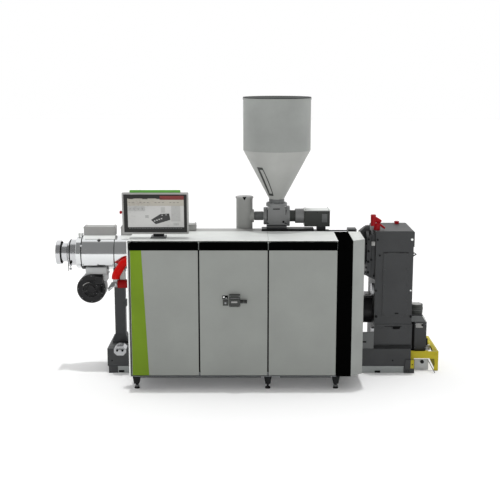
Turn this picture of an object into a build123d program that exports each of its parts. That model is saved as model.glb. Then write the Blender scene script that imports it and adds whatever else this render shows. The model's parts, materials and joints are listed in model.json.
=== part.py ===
from build123d import *
from math import atan, cos, degrees, radians, sin
import os

os.makedirs("parts", exist_ok=True)

# Millimetres. X runs along the machine from the melt outlet on the left, Y away from the
# operator, Z up from the floor. The origin is on the floor under the middle of the machine.

# Main lines
barrel_y = 217.0
barrel_z = 1050.0
front_y = -495.0
cabinet_left = -986.0

# Control cabinet
cabinet_bottom = 116.0
cabinet_top = 1280.0
cabinet_depth = 463.0
roof_overhang = 18.0
sheet = 4.5
side_sheet = 5.0
slab_thickness = 25.0
back_thickness = 20.0
back_groove_width = 8.0
back_groove_depth = 4.0
post_width = 50.0
post_depth = 50.0
post_wall = 6.0
post_setback = 30.0
band_width = 123.5
band_edge_radius = 3.0
bevel_width = 104.0
bevel_depth = 85.0
duct_depth = 148.0
duct_height = 65.0
duct_right = 125.0
duct_lid = 6.0
duct_lid_lip = 4.0

# Doors
door_width = 565.0
door_thickness = 20.0
door_gap = 12.0
door_side_gap = 9.0
door_end_gap = 5.5
door_edge_radius = 2.0
door_rim = 26.0
door_skin = 6.0
door_stiffener = 60.0
hinge_inset = 9.0
hinge_pin_radius = 4.0
hinge_pin_reach = 18.0
pin_clearance = 0.05
pin_end_gap = 0.3
fascia_height = 70.0
fascia_inset = 5.0
fascia_thickness = 3.0
stripe_top_width = 97.0
stripe_bottom_width = 145.0
stripe_thickness = 1.0

# Feet of the cabinet
foot_top_width = 68.0
foot_bottom_width = 43.0
foot_bracket_height = 71.0
foot_bracket_depth = 60.0
foot_inset = 48.0
foot_stud_radius = 8.0
foot_nut_radius = 15.0
foot_nut_height = 10.0
foot_pad_radius = 24.0
foot_pad_height = 12.0
foot_pad_chamfer = 4.0

# Isolator switch on the middle door
switch_x = -103.5
switch_z = 780.0
switch_width = 94.0
switch_height = 103.0
switch_depth = 36.0
switch_corner = 6.0
switch_bar_height = 22.0
switch_bar_reach = 12.0
switch_lock_width = 44.0
switch_lock_height = 45.0
switch_lock_depth = 26.0
switch_lock_gap = 7.0
switch_lock_drop = 20.0
switch_grip_length = 56.0
switch_grip_radius = 14.0
switch_grip_drop = 10.0

# Operator panel on its swivel foot
panel_x = -764.5
panel_width = 554.0
panel_height = 351.0
panel_depth = 52.0
panel_frame_depth = 24.0
panel_shell_inset = 5.0
panel_shell_taper = 9.0
panel_bottom = 1314.0
panel_front_y = -348.0
panel_tilt = 4.0
panel_rim = 14.0
panel_corner = 8.0
glass_thickness = 4.0
signal_width = 422.0
signal_height = 20.0
signal_depth = 30.0
signal_radius = 6.0
stop_radius = 16.0
stop_collar_radius = 11.0
stop_reach = 22.0
stop_head_length = 12.0
stop_z = 1497.0
swivel_x = -743.0
swivel_y = -320.0
swivel_width = 133.0
swivel_depth = 120.0
swivel_corner = 10.0
swivel_taper = 20.0
swivel_base_height = 14.0
swivel_head_width = 90.0
swivel_head_depth = 48.0
swivel_head_height = 30.0
swivel_head_corner = 8.0
swivel_pin_radius = 14.0
swivel_pin_reach = 18.0
swivel_gap = 0.5
swivel_bore_spare = 1.0

# Base frame
base_left = -1246.0
base_rear = 465.0
base_end_step = 5.0
beam_bottom = 62.0
beam_top = 224.0
beam_width = 80.0
beam_edge_radius = 6.0
beam_hole_radius = 6.0
beam_hole_depth = 12.0
beam_hole_rise = 52.0
deck_margin = 30.0
deck_end_width = 170.0
gearbox_deck_reach = 130.0
deck_slot_front = 136.0
deck_slot_rear = 191.0
deck_slot_depth = 40.0
skid_width = 40.0
frame_foot_width = 83.0
frame_foot_inset = 9.0
corner_foot_width = 94.0
corner_foot_height = 123.0
corner_foot_reach = 33.0
corner_foot_plate = 12.0
corner_foot_slant = 16.0

# Melt outlet and barrel
outlet_left = -1706.0
outlet_flange_width = 40.0
outlet_flange_radius = 108.0
outlet_bore_radius = 32.5
outlet_bolt_circle = 176.0
outlet_bolt_count = 8
outlet_bolt_radius = 7.0
groove_width = 13.0
groove_radius = 78.0
neck_width = 46.0
neck_radius = 83.5
clamp_width = 27.0
clamp_radius = 101.5
clamp_bevel = 8.0
clamp_ear_width = 50.0
clamp_ear_height = 20.0
clamp_rod_radius = 6.0
clamp_rod_length = 40.0
barrel_flange_width = 57.0
barrel_flange_radius = 115.0
barrel_radius = 85.0
nose_cover_width = 50.0
nose_cover_radius = 142.0
cover_radius = 155.0
cover_seam = 4.0
cover_edge = 3.0
main_cover_width = 288.0
middle_cover_width = 502.0

# Terminal boxes on the barrel covers
box_length = 281.0
box_depth = 110.0
box_height = 85.0
box_saddle = 16.0
box_saddle_inset = 18.0
box_rise = 7.0
box_lid = 14.0
box_lid_lip = 1.5
box_edge_radius = 4.0
box_lefts = [-1455.0, -1125.0, -737.0]

# Cooling fan under the main cover
fan_x = -1392.5
fan_z = 739.0
fan_radius = 129.0
fan_width = 120.0
fan_front_y = 105.0
fan_lip = 5.0
fan_lip_width = 9.0
fan_inlet_radius = 74.0
fan_inlet_depth = 10.0
fan_hub_radius = 30.0
fan_box_left = 42.0
fan_box_width = 63.0
fan_box_bottom = 54.0
fan_box_height = 60.0
fan_box_reach = 26.0
fan_outlet_left = -1443.5
fan_outlet_width = 188.0
fan_outlet_depth = 90.0
fan_neck_width = 120.0
duct_flange = 8.0
duct_flange_height = 10.0

# Columns that carry the barrel
column_width = 95.0
column_lefts = [-1198.5, -60.0]
column_pad_overhang = 24.0
column_pad_height = 22.0
column_gusset_height = 60.0
column_edge_radius = 6.0
saddle_width = 150.0
saddle_height = 70.0
cable_clamp_width = 14.0
cable_clamp_height = 62.0
cable_clamp_z = 560.0

# Red insulated cooling pipes at the back corner of the cabinet
pipe_y = 10.0
pipe_radius = 37.0
upper_pipe_z = 1006.0
lower_pipe_z = 807.0
pipe_right = -900.0
pipe_bend_x = -1085.0
pipe_bend_radius = 70.0
pipe_leg_gap = 8.0
pipe_leg_length = 30.0
manifold_width = 90.0
manifold_margin = 18.0
pipe_plate_left = -1122.0
pipe_plate_width = 43.0
pipe_plate_thickness = 12.0
valve_x = -1158.0
valve_radius = 33.0
valve_neck_radius = 26.0
valve_lever_length = 84.0
valve_lever_width = 12.0
valve_lever_slope = 42.0

# Cast drain manifold on the front beam of the base
drain_left = -1180.0
drain_width = 108.0
drain_reach = 52.0
drain_depth = 104.0
drain_height = 84.0
drain_bottom = 176.0
drain_chamfer = 26.0
drain_port_radius = 17.0
drain_port_length = 16.0

# Feed block under the hopper and adapter to the gearbox
feed_block_left = 130.0
feed_block_width = 300.0
feed_block_depth = 260.0
feed_block_bottom = 900.0
feed_block_top = 1240.0
feed_block_chamfer = 30.0
adapter_radius = 110.0
adapter_flange_radius = 208.0
adapter_flange_width = 24.0
adapter_flange_gap = 18.0
adapter_plate_width = 27.0
adapter_rib_count = 8
adapter_rib_width = 14.0
adapter_rib_height = 22.0
adapter_cover_reach = 227.0
adapter_cover_width = 76.0
adapter_cover_depth = 120.0
adapter_cover_top = 1268.0
cooler_drum_reach = 124.0
cooler_drum_width = 94.0
cooler_drum_radius = 46.0
cooler_drum_z = 1253.0
cooler_drum_core = 38.0
cooler_fin_count = 7
cooler_fin_width = 8.0
cooler_saddle_width = 50.0
cooler_slant_length = 66.0
cooler_slant_drop = 58.0

# Gearbox
gearbox_left = 1124.0
gearbox_width = 338.0
gearbox_front = -25.0
gearbox_depth = 490.0
gearbox_top = 1281.0
gearbox_cap_height = 138.0
gearbox_lip = 7.0
gearbox_joint_z = 436.0
gearbox_joint_height = 22.0
gearbox_joint_reach = 6.0
gearbox_foot_height = 32.0
gearbox_corner = 8.0
gearbox_panel_left = 68.0
gearbox_panel_width = 222.0
gearbox_panel_bottom = 521.0
gearbox_panel_height = 572.0
gearbox_panel_reach = 7.0
gearbox_panel_corner = 14.0
gearbox_pocket_left = 150.0
gearbox_pocket_width = 72.0
gearbox_pocket_height = 24.0
gearbox_pocket_depth = 14.0
lug_reach = 32.0
lug_height = 44.0
lug_thickness = 16.0
lug_z = 1052.0
lug_hole_radius = 7.0
fitting_thickness = 22.0
fitting_radius = 57.0
fitting_z = 743.0
fitting_inset = 85.0
fitting_lug_height = 97.0
fitting_lug_bottom = 310.0
fitting_lug_depth = 60.0

# Red oil filter and filler cap on the gearbox
filter_inset_x = 17.0
filter_inset_y = 89.0
filter_radius = 29.0
filter_height = 59.0
filter_head_shift = 34.0
filter_head_radius = 23.0
filter_head_height = 74.0
filter_arm_length = 132.0
filter_arm_radius = 9.0
filter_arm_slope = 39.0
cap_inset_x = 239.0
cap_inset_y = 422.0
cap_radius = 22.0
cap_height = 24.0

# Drive motor and coupling
motor_left = 205.0
motor_length = 640.0
motor_radius = 195.0
motor_z = 530.0
motor_core_radius = 168.0
motor_fin_count = 32
motor_fin_width = 7.0
motor_cowl_length = 130.0
motor_shield_length = 45.0
motor_cowl_chamfer = 18.0
motor_foot_width = 80.0
motor_foot_inset = 150.0
motor_foot_spread = 310.0
motor_foot_plate = 22.0
motor_box_length = 190.0
motor_box_width = 150.0
motor_box_height = 70.0
motor_box_inset = 210.0
coupling_radius = 126.0
coupling_flange_radius = 150.0
coupling_flange_width = 22.0
coupling_plate_length = 62.0
coupling_plate_width = 114.0
coupling_plate_top = 677.0

# Lubrication unit at the right of the gearbox
cooler_gap = 46.0
cooler_width = 110.0
cooler_front = 115.0
cooler_depth = 210.0
cooler_bottom = 166.0
cooler_top = 430.0
cooler_corner = 5.0
bracket_inset = 30.0
hood_height = 58.0
hood_inset = 14.0
hood_left_reach = 20.0
hood_slope = 34.0
pump_x = 28.0
pump_radius = 58.0
pump_height = 86.0
pump_flange = 3.0
pump_flange_height = 9.0

# Yellow guard rail
guard_length = 260.0
guard_front = 35.0
guard_rear = 551.0
guard_bottom = 114.0
guard_height = 64.0
guard_bar = 14.0
guard_post_depth = 24.0
guard_inner_post = 42.0
guard_outer_post = 34.0
guard_brace_width = 46.0
guard_brace_height = 92.0
guard_brace_thickness = 10.0

# Feeder and hopper
hopper_x = 261.5
hopper_radius = 297.0
hopper_wall = 3.0
hopper_drum_bottom = 1970.0
hopper_top = 2431.0
hopper_outlet_radius = 66.0
hopper_cone_bottom = 1536.0
hopper_band_height = 12.0
hopper_band_reach = 4.0
hopper_band_drop = 10.0
hopper_flange_radius = 94.0
feeder_flange_top = 1500.0
feeder_top = 1474.0
feeder_bottom = 1316.0
feeder_width = 165.5
feeder_depth = 160.0
feeder_chamfer = 24.0
feeder_recess_inset = 16.0
feeder_recess_depth = 5.0
feeder_side_flange = 33.0
feeder_left_flange_radius = 78.0
feeder_right_flange_radius = 91.0
feeder_base_width = 177.0
feeder_base_depth = 150.0
feeder_base_height = 58.0
rail_plate = 10.0
rail_bar_height = 22.0
rail_bar_left = 129.0
rail_bar_right = 592.0
rail_half_width = 60.0
feed_tube_radius = 35.0
feed_tube_z = 1382.0
tube_flange_radius = 58.0
tube_flange_width = 12.0
down_pipe_x = -25.0
down_pipe_radius = 73.0
down_pipe_top = 1555.0
down_pipe_rim = 4.0
down_pipe_rim_height = 14.0
coupler_radius = 51.0
gear_drum_radius = 63.0
gear_drum_width = 80.0
drive_box_left = 506.5
drive_box_width = 226.0
drive_box_depth = 150.0
drive_box_bottom = 1297.0
drive_box_top = 1436.0
drive_lid_height = 6.0
drive_lid_lip = 3.0
drive_stand_left = 114.0
drive_stand_width = 78.0
drive_stand_depth = 80.0

# Places worked out from the sizes above
cabinet_back = front_y + cabinet_depth
roof_back = cabinet_back + roof_overhang
inner_left = cabinet_left + side_sheet
door_bottom = cabinet_bottom + sheet + door_end_gap
door_top = cabinet_top - sheet - door_end_gap
door_lefts = [inner_left + door_side_gap + i * (door_width + door_gap) for i in range(3)]
band_left = door_lefts[2] + door_width + door_gap / 2
band_right = band_left + band_width
bevel_right = band_right + bevel_width
post_front = front_y + post_setback
floor_top = cabinet_bottom + slab_thickness
roof_underside = cabinet_top - slab_thickness
hinge_y = front_y + hinge_inset
gearbox_right = gearbox_left + gearbox_width
gearbox_rear = gearbox_front + gearbox_depth
base_front = cabinet_back
base_right = gearbox_right - base_end_step
feed_block_right = feed_block_left + feed_block_width
motor_right = motor_left + motor_length

barrel_line = Plane(origin=(0, barrel_y, barrel_z), x_dir=(1, 0, 0), z_dir=(0, -1, 0))
barrel_axis = Axis((0, barrel_y, barrel_z), (1, 0, 0))


def block(low, high, mode=Mode.ADD):
    """A plain block between its lowest and highest corners."""
    size = [b - a for a, b in zip(low, high)]
    with Locations(tuple(low)):
        Box(*size, align=(Align.MIN, Align.MIN, Align.MIN), mode=mode)


def turned(outline, mode=Mode.ADD):
    """A closed outline of (x, radius) points turned round the barrel's line."""
    with BuildSketch(barrel_line) as profile:
        with BuildLine():
            Polyline(*outline, close=True)
        make_face()
    revolve(profile.sketch, axis=barrel_axis, mode=mode)


def ring(left, right, outer, inner=0.0, edge=0.0, mode=Mode.ADD):
    """A turned ring, or a solid disc, on the barrel's line, with its outer edges broken if asked."""
    outline = [(left, inner), (left, outer - edge), (right, outer - edge), (right, inner)]
    if edge:
        outline[2:2] = [(left + edge, outer), (right - edge, outer)]
    turned(outline, mode)


def upright(x, y, bottom, top, radius, mode=Mode.ADD):
    """An upright round bar or hole."""
    with Locations((x, y, bottom)):
        Cylinder(radius, top - bottom, align=(Align.CENTER, Align.CENTER, Align.MIN), mode=mode)


def along_x(left, right, y, z, radius, mode=Mode.ADD):
    """A round bar or hole along X."""
    with Locations((left, y, z)):
        Cylinder(radius, right - left, rotation=(0, 90, 0),
                 align=(Align.CENTER, Align.CENTER, Align.MIN), mode=mode)


def along_y(front, rear, x, z, radius, mode=Mode.ADD):
    """A round bar or hole along Y."""
    with Locations((x, front, z)):
        Cylinder(radius, rear - front, rotation=(-90, 0, 0),
                 align=(Align.CENTER, Align.CENTER, Align.MIN), mode=mode)


def slab(outline, front, rear, mode=Mode.ADD):
    """A flat plate with an outline of (x, z) points, from its front to its rear."""
    with BuildSketch(Plane.XZ.offset(-front)) as profile:
        with BuildLine():
            Polyline(*outline, close=True)
        make_face()
    extrude(profile.sketch, amount=front - rear, mode=mode)


def finish(builder, name):
    """Label one finished piece and write its STEP file."""
    builder.part.label = name
    export_step(builder.part, f"parts/{name}.step")


# Cabinet shell

with BuildPart() as cabinet_floor:
    block((inner_left, post_front, cabinet_bottom), (band_left, cabinet_back, floor_top))
    block((inner_left, front_y, cabinet_bottom), (band_left, post_front, cabinet_bottom + sheet))
    for door_left in door_lefts:
        upright(door_left + hinge_inset, hinge_y, cabinet_bottom + sheet,
                door_bottom + hinge_pin_reach, hinge_pin_radius)
finish(cabinet_floor, "cabinet_floor")

with BuildPart() as cabinet_roof:
    block((inner_left, post_front, roof_underside), (band_left, roof_back, cabinet_top))
    block((inner_left, front_y, cabinet_top - sheet), (band_left, post_front, cabinet_top))
    for door_left in door_lefts:
        upright(door_left + hinge_inset, hinge_y, door_top - hinge_pin_reach,
                cabinet_top - sheet, hinge_pin_radius)
finish(cabinet_roof, "cabinet_roof")

with BuildPart() as cabinet_side:
    block((cabinet_left, front_y, cabinet_bottom), (inner_left, cabinet_back, cabinet_top))
finish(cabinet_side, "cabinet_side")

# The rear wall is grooved where its panels meet
with BuildPart() as cabinet_rear:
    block((inner_left, cabinet_back - back_thickness, floor_top),
          (band_left, cabinet_back, roof_underside))
    for door_left in door_lefts[1:]:
        groove_left = door_left - door_gap / 2 - back_groove_width / 2
        block((groove_left, cabinet_back - back_groove_depth, floor_top),
              (groove_left + back_groove_width, cabinet_back, roof_underside), Mode.SUBTRACT)
finish(cabinet_rear, "cabinet_rear")

# Each post is a channel that is open to the inside of the cabinet
with BuildPart() as cabinet_posts:
    for door_left in door_lefts[1:]:
        post_left = door_left - door_gap / 2 - post_width / 2
        post_rear = post_front + post_depth
        block((post_left, post_front, floor_top), (post_left + post_width, post_rear, roof_underside))
        block((post_left + post_wall, post_front + post_wall, floor_top),
              (post_left + post_width - post_wall, post_rear, roof_underside), Mode.SUBTRACT)
finish(cabinet_posts, "cabinet_posts")

with BuildPart() as end_band:
    block((band_left, front_y, cabinet_bottom), (band_right, cabinet_back, cabinet_top))
    fillet(end_band.edges().filter_by(Axis.Z).sort_by(Axis.X).group_by(Axis.Y)[0][0], band_edge_radius)
finish(end_band, "end_band")

with BuildPart() as end_bevel:
    with BuildSketch(Plane.XY.offset(cabinet_bottom)):
        with BuildLine():
            Polyline((band_right, front_y), (bevel_right, front_y + bevel_depth),
                     (bevel_right, cabinet_back), (band_right, cabinet_back), close=True)
        make_face()
    extrude(amount=cabinet_top - cabinet_bottom)
finish(end_bevel, "end_bevel")

with BuildPart() as cable_duct:
    duct_back = roof_back + duct_depth
    block((inner_left, roof_back, cabinet_top - duct_height), (duct_right, duct_back, cabinet_top - duct_lid))
    block((inner_left, roof_back, cabinet_top - duct_lid),
          (duct_right, duct_back + duct_lid_lip, cabinet_top))
finish(cable_duct, "cable_duct")

with BuildPart() as cabinet_feet:
    foot_xs = [cabinet_left + foot_inset, door_lefts[2] - door_gap / 2, band_left]
    foot_ys = [front_y + foot_inset, cabinet_back - foot_inset]
    bracket_bottom = cabinet_bottom - foot_bracket_height
    for foot_y in foot_ys:
        for foot_x in foot_xs:
            slab([(foot_x - foot_top_width / 2, cabinet_bottom),
                  (foot_x + foot_top_width / 2, cabinet_bottom),
                  (foot_x + foot_bottom_width / 2, bracket_bottom),
                  (foot_x - foot_bottom_width / 2, bracket_bottom)],
                 foot_y - foot_bracket_depth / 2, foot_y + foot_bracket_depth / 2)
            upright(foot_x, foot_y, foot_pad_height, bracket_bottom, foot_stud_radius)
            with BuildSketch(Plane.XY.offset(bracket_bottom)):
                with Locations((foot_x, foot_y)):
                    RegularPolygon(foot_nut_radius, 6)
            extrude(amount=-foot_nut_height)
            with Locations((foot_x, foot_y, 0)):
                Cone(foot_pad_radius, foot_pad_radius - foot_pad_chamfer, foot_pad_height,
                     align=(Align.CENTER, Align.CENTER, Align.MIN))
finish(cabinet_feet, "cabinet_feet")

# Doors: folded pans with a middle stiffener, a pocket for the head strip and two hinge bores

door_names = ["door_left", "door_middle", "door_right"]
fascia_bottom = door_top - fascia_height
pan_width = (door_width - 2 * door_rim - door_stiffener) / 2
stripe_outline = [(door_lefts[0] + fascia_inset, fascia_bottom),
                  (door_lefts[0] + stripe_top_width, fascia_bottom),
                  (door_lefts[0] + stripe_bottom_width, door_bottom),
                  (door_lefts[0] + fascia_inset, door_bottom)]
for name, door_left in zip(door_names, door_lefts):
    door_right = door_left + door_width
    with BuildPart() as door:
        block((door_left, front_y, door_bottom), (door_right, front_y + door_thickness, door_top))
        fillet(door.edges().filter_by(Axis.Z).group_by(Axis.Y)[0], door_edge_radius)
        block((door_left + fascia_inset, front_y, fascia_bottom),
              (door_right - fascia_inset, front_y + fascia_thickness, door_top), Mode.SUBTRACT)
        for pan_left in (door_left + door_rim, door_right - door_rim - pan_width):
            block((pan_left, front_y + door_skin, door_bottom + door_rim),
                  (pan_left + pan_width, front_y + door_thickness, door_top - door_rim), Mode.SUBTRACT)
        bore_depth = hinge_pin_reach + pin_end_gap
        for end in (door_bottom, door_top - bore_depth):
            upright(door_left + hinge_inset, hinge_y, end, end + bore_depth,
                    hinge_pin_radius + pin_clearance, Mode.SUBTRACT)
        if name == "door_left":
            slab(stripe_outline, front_y, front_y + stripe_thickness, Mode.SUBTRACT)
    finish(door, name)
    with BuildPart() as fascia:
        block((door_left + fascia_inset, front_y, fascia_bottom),
              (door_right - fascia_inset, front_y + fascia_thickness, door_top))
    finish(fascia, name + "_fascia")

with BuildPart() as green_stripe:
    slab(stripe_outline, front_y, front_y + stripe_thickness)
finish(green_stripe, "green_stripe")

# Isolator switch: body with a cross bar, a padlock block at its left and a grip at its right

with BuildPart() as isolator_switch:
    switch_left = switch_x - switch_width / 2
    switch_right = switch_x + switch_width / 2
    switch_face = front_y - switch_depth
    lock_right = switch_left - switch_lock_gap
    lock_bottom = switch_z - switch_lock_drop - switch_lock_height / 2
    block((switch_left, switch_face, switch_z - switch_height / 2),
          (switch_right, front_y, switch_z + switch_height / 2))
    fillet(isolator_switch.edges().filter_by(Axis.Y), switch_corner)
    chamfer(isolator_switch.faces().sort_by(Axis.Y)[0].edges(), switch_corner / 2)
    block((switch_left + switch_corner, switch_face - switch_bar_reach, switch_z - switch_bar_height / 2),
          (switch_right - switch_corner, switch_face, switch_z + switch_bar_height / 2))
    block((lock_right - switch_lock_width, front_y - switch_lock_depth, lock_bottom),
          (lock_right, front_y, lock_bottom + switch_lock_height))
    along_x(switch_right, switch_right + switch_grip_length, front_y - switch_depth / 2,
            switch_z - switch_grip_drop, switch_grip_radius)
finish(isolator_switch, "isolator_switch")

# Operator panel on its swivel foot

head_bottom = cabinet_top + swivel_base_height + swivel_gap
head_top = head_bottom + swivel_head_height
panel_plane = Plane(origin=(panel_x, panel_front_y, panel_bottom), x_dir=(1, 0, 0),
                    z_dir=(0, -cos(radians(panel_tilt)), -sin(radians(panel_tilt))))

with BuildPart() as swivel_foot:
    with BuildSketch(Plane.XY.offset(cabinet_top)):
        with Locations((swivel_x, swivel_y)):
            RectangleRounded(swivel_width, swivel_depth, swivel_corner)
    extrude(amount=swivel_base_height, taper=swivel_taper)
    upright(swivel_x, swivel_y, cabinet_top + swivel_base_height, head_bottom + swivel_pin_reach,
            swivel_pin_radius)
finish(swivel_foot, "swivel_foot")

with BuildPart() as swivel_head:
    block((swivel_x - swivel_head_width / 2, swivel_y - swivel_head_depth / 2, head_bottom),
          (swivel_x + swivel_head_width / 2, swivel_y + swivel_head_depth / 2, head_top))
    fillet(swivel_head.edges().filter_by(Axis.Z), swivel_head_corner)
    upright(swivel_x, swivel_y, head_bottom, head_bottom + swivel_pin_reach + swivel_bore_spare,
            swivel_pin_radius + pin_clearance, Mode.SUBTRACT)
finish(swivel_head, "swivel_head")

# The housing is a square frame with a tapered shell behind it, cut out for the glass and the head
with BuildPart() as panel_housing:
    with BuildSketch(panel_plane):
        with Locations((0, panel_height / 2)):
            RectangleRounded(panel_width, panel_height, panel_corner)
    extrude(amount=-panel_frame_depth)
    with BuildSketch(panel_plane.offset(-panel_frame_depth)):
        with Locations((0, panel_height / 2)):
            RectangleRounded(panel_width - 2 * panel_shell_inset, panel_height - 2 * panel_shell_inset,
                             panel_corner)
    extrude(amount=-(panel_depth - panel_frame_depth), taper=panel_shell_taper)
    with BuildSketch(panel_plane):
        with Locations((0, panel_height / 2)):
            Rectangle(panel_width - 2 * panel_rim, panel_height - 2 * panel_rim)
    extrude(amount=-glass_thickness, mode=Mode.SUBTRACT)
    add(swivel_head.part, mode=Mode.SUBTRACT)
finish(panel_housing, "panel_housing")

with BuildPart() as panel_glass:
    with BuildSketch(panel_plane):
        with Locations((0, panel_height / 2)):
            Rectangle(panel_width - 2 * panel_rim, panel_height - 2 * panel_rim)
    extrude(amount=-glass_thickness)
finish(panel_glass, "panel_glass")

with BuildPart() as signal_bar:
    with BuildSketch(panel_plane.offset(-panel_frame_depth)):
        with Locations((0, panel_height + signal_height / 2)):
            RectangleRounded(signal_width, signal_height, signal_radius)
    extrude(amount=signal_depth - panel_frame_depth / 2)
    with BuildSketch(panel_plane.offset(-panel_frame_depth)):
        with Locations((0, panel_height + signal_height / 4)):
            Rectangle(signal_width, signal_height / 2)
    extrude(amount=panel_frame_depth / 2)
finish(signal_bar, "signal_bar")

with BuildPart() as stop_button:
    stop_up = (stop_z - panel_bottom) / cos(radians(panel_tilt))
    stop_y = panel_front_y - stop_up * sin(radians(panel_tilt)) + panel_frame_depth / 2
    stop_right = panel_x - panel_width / 2
    stop_left = stop_right - stop_reach
    along_x(stop_left + stop_head_length, stop_right, stop_y, stop_z, stop_collar_radius)
    with Locations((stop_left + stop_head_length, stop_y, stop_z)):
        Cone(stop_radius, stop_radius - stop_head_length / 2, stop_head_length, rotation=(0, -90, 0),
             align=(Align.CENTER, Align.CENTER, Align.MIN))
finish(stop_button, "stop_button")

# Base frame: two long beams, decks across them, skids and feet

column_deck = (column_lefts[1] - deck_margin, column_lefts[1] + column_width + deck_margin)
motor_foot_lefts = [motor_left + motor_foot_inset, motor_right - motor_foot_inset]
motor_decks = [(left - deck_margin, left + motor_foot_width + deck_margin) for left in motor_foot_lefts]
cross_spans = [(base_left, base_left + deck_end_width), column_deck, *motor_decks,
               (gearbox_left - gearbox_deck_reach, base_right)]
frame_foot_left = base_left + frame_foot_inset
corner_foot_right = base_right + corner_foot_reach
corner_foot_left = corner_foot_right - corner_foot_width

with BuildPart() as base_beams:
    block((base_left, base_front, beam_bottom), (base_right, base_front + beam_width, beam_top))
    block((base_left, base_rear - beam_width, beam_bottom), (base_right, base_rear, beam_top))
    outer_edges = base_beams.edges().filter_by(Axis.X).group_by(Axis.Y)
    fillet(outer_edges[0] + outer_edges[-1], beam_edge_radius)
    for hole_x in (base_left + beam_width / 2, base_right - 2 * beam_width):
        along_y(base_front, base_front + beam_hole_depth, hole_x, beam_bottom + beam_hole_rise,
                beam_hole_radius, Mode.SUBTRACT)
finish(base_beams, "base_beams")

with BuildPart() as base_crossbars:
    for left, right in cross_spans:
        block((left, base_front + beam_width, beam_bottom), (right, base_rear - beam_width, beam_top))
    block((cross_spans[-1][0], deck_slot_front, beam_top - deck_slot_depth),
          (gearbox_left - deck_margin, deck_slot_rear, beam_top), Mode.SUBTRACT)
finish(base_crossbars, "base_crossbars")

with BuildPart() as floor_skids:
    for skid_front in (base_front, base_rear - skid_width):
        block((frame_foot_left + frame_foot_width, skid_front, 0),
              (corner_foot_left, skid_front + skid_width, beam_bottom))
finish(floor_skids, "floor_skids")

with BuildPart() as frame_feet:
    for foot_front in (base_front, base_rear - beam_width):
        block((frame_foot_left, foot_front, 0),
              (frame_foot_left + frame_foot_width, foot_front + beam_width, beam_bottom))
        block((corner_foot_left, foot_front, 0), (base_right, foot_front + beam_width, beam_bottom))
    slab([(corner_foot_left, 0), (corner_foot_right, 0), (corner_foot_right, corner_foot_height),
          (corner_foot_left + corner_foot_slant, corner_foot_height)],
         base_front - corner_foot_plate, base_front)
finish(frame_feet, "frame_feet")

# Melt outlet, barrel and its covers, all turned on the barrel's line

flange_right = outlet_left + outlet_flange_width
groove_right = flange_right + groove_width
neck_right = groove_right + neck_width
clamp_right = neck_right + clamp_width
barrel_left = clamp_right + barrel_flange_width
nose_right = barrel_left + nose_cover_width
main_left = nose_right + cover_seam
main_right = main_left + main_cover_width
middle_left = main_right + cover_seam
middle_right = middle_left + middle_cover_width
rear_left = middle_right + cover_seam

with BuildPart() as outlet_flange:
    turned([(outlet_left, outlet_bore_radius), (outlet_left, outlet_flange_radius),
            (flange_right, outlet_flange_radius), (flange_right, groove_radius),
            (groove_right, groove_radius), (groove_right, neck_radius),
            (neck_right, neck_radius), (neck_right, outlet_bore_radius)])
    outlet_face = Plane(origin=(outlet_left, barrel_y, barrel_z), x_dir=(0, 1, 0), z_dir=(-1, 0, 0))
    with Locations(outlet_face):
        with PolarLocations(outlet_bolt_circle / 2, outlet_bolt_count):
            Hole(outlet_bolt_radius, outlet_flange_width)
finish(outlet_flange, "outlet_flange")

with BuildPart() as clamp_ring:
    ring(neck_right, clamp_right, clamp_radius, outlet_bore_radius, clamp_bevel)
    ear_top = barrel_z - clamp_radius + clamp_bevel * 2
    ear_bottom = barrel_z - clamp_radius - clamp_ear_height
    block((neck_right, barrel_y - clamp_ear_width / 2, ear_bottom),
          (clamp_right, barrel_y + clamp_ear_width / 2, ear_top))
    upright((neck_right + clamp_right) / 2, barrel_y, ear_bottom - clamp_rod_length, ear_bottom,
            clamp_rod_radius)
finish(clamp_ring, "clamp_ring")

with BuildPart() as barrel:
    ring(clamp_right, barrel_left, barrel_flange_radius, 0.0, cover_edge)
    ring(barrel_left, feed_block_left, barrel_radius)
finish(barrel, "barrel")

for name, left, right, radius in (("nose_cover", barrel_left, nose_right, nose_cover_radius),
                                  ("main_cover", main_left, main_right, cover_radius),
                                  ("middle_cover", middle_left, middle_right, cover_radius),
                                  ("rear_cover", rear_left, feed_block_left, cover_radius)):
    with BuildPart() as cover:
        ring(left, right, radius, barrel_radius, cover_edge)
    finish(cover, name)

# Each terminal box sits on the round cover with a saddle and has a lid with a lip
with BuildPart() as terminal_boxes:
    cover_top = barrel_z + cover_radius
    lid_bottom = cover_top + box_height - box_lid
    for left in box_lefts:
        block((left, barrel_y - box_depth / 2, cover_top + box_rise),
              (left + box_length, barrel_y + box_depth / 2, lid_bottom))
        block((left + box_saddle_inset, barrel_y - box_depth / 2 + box_saddle_inset, cover_top - box_saddle),
              (left + box_length - box_saddle_inset, barrel_y + box_depth / 2 - box_saddle_inset,
               cover_top + box_rise))
    fillet(terminal_boxes.edges().filter_by(Axis.Z), box_edge_radius)
    for left in box_lefts:
        block((left - box_lid_lip, barrel_y - box_depth / 2 - box_lid_lip, lid_bottom),
              (left + box_length + box_lid_lip, barrel_y + box_depth / 2 + box_lid_lip,
               lid_bottom + box_lid))
    ring(outlet_left, feed_block_left, cover_radius, mode=Mode.SUBTRACT)
finish(terminal_boxes, "terminal_boxes")

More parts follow.
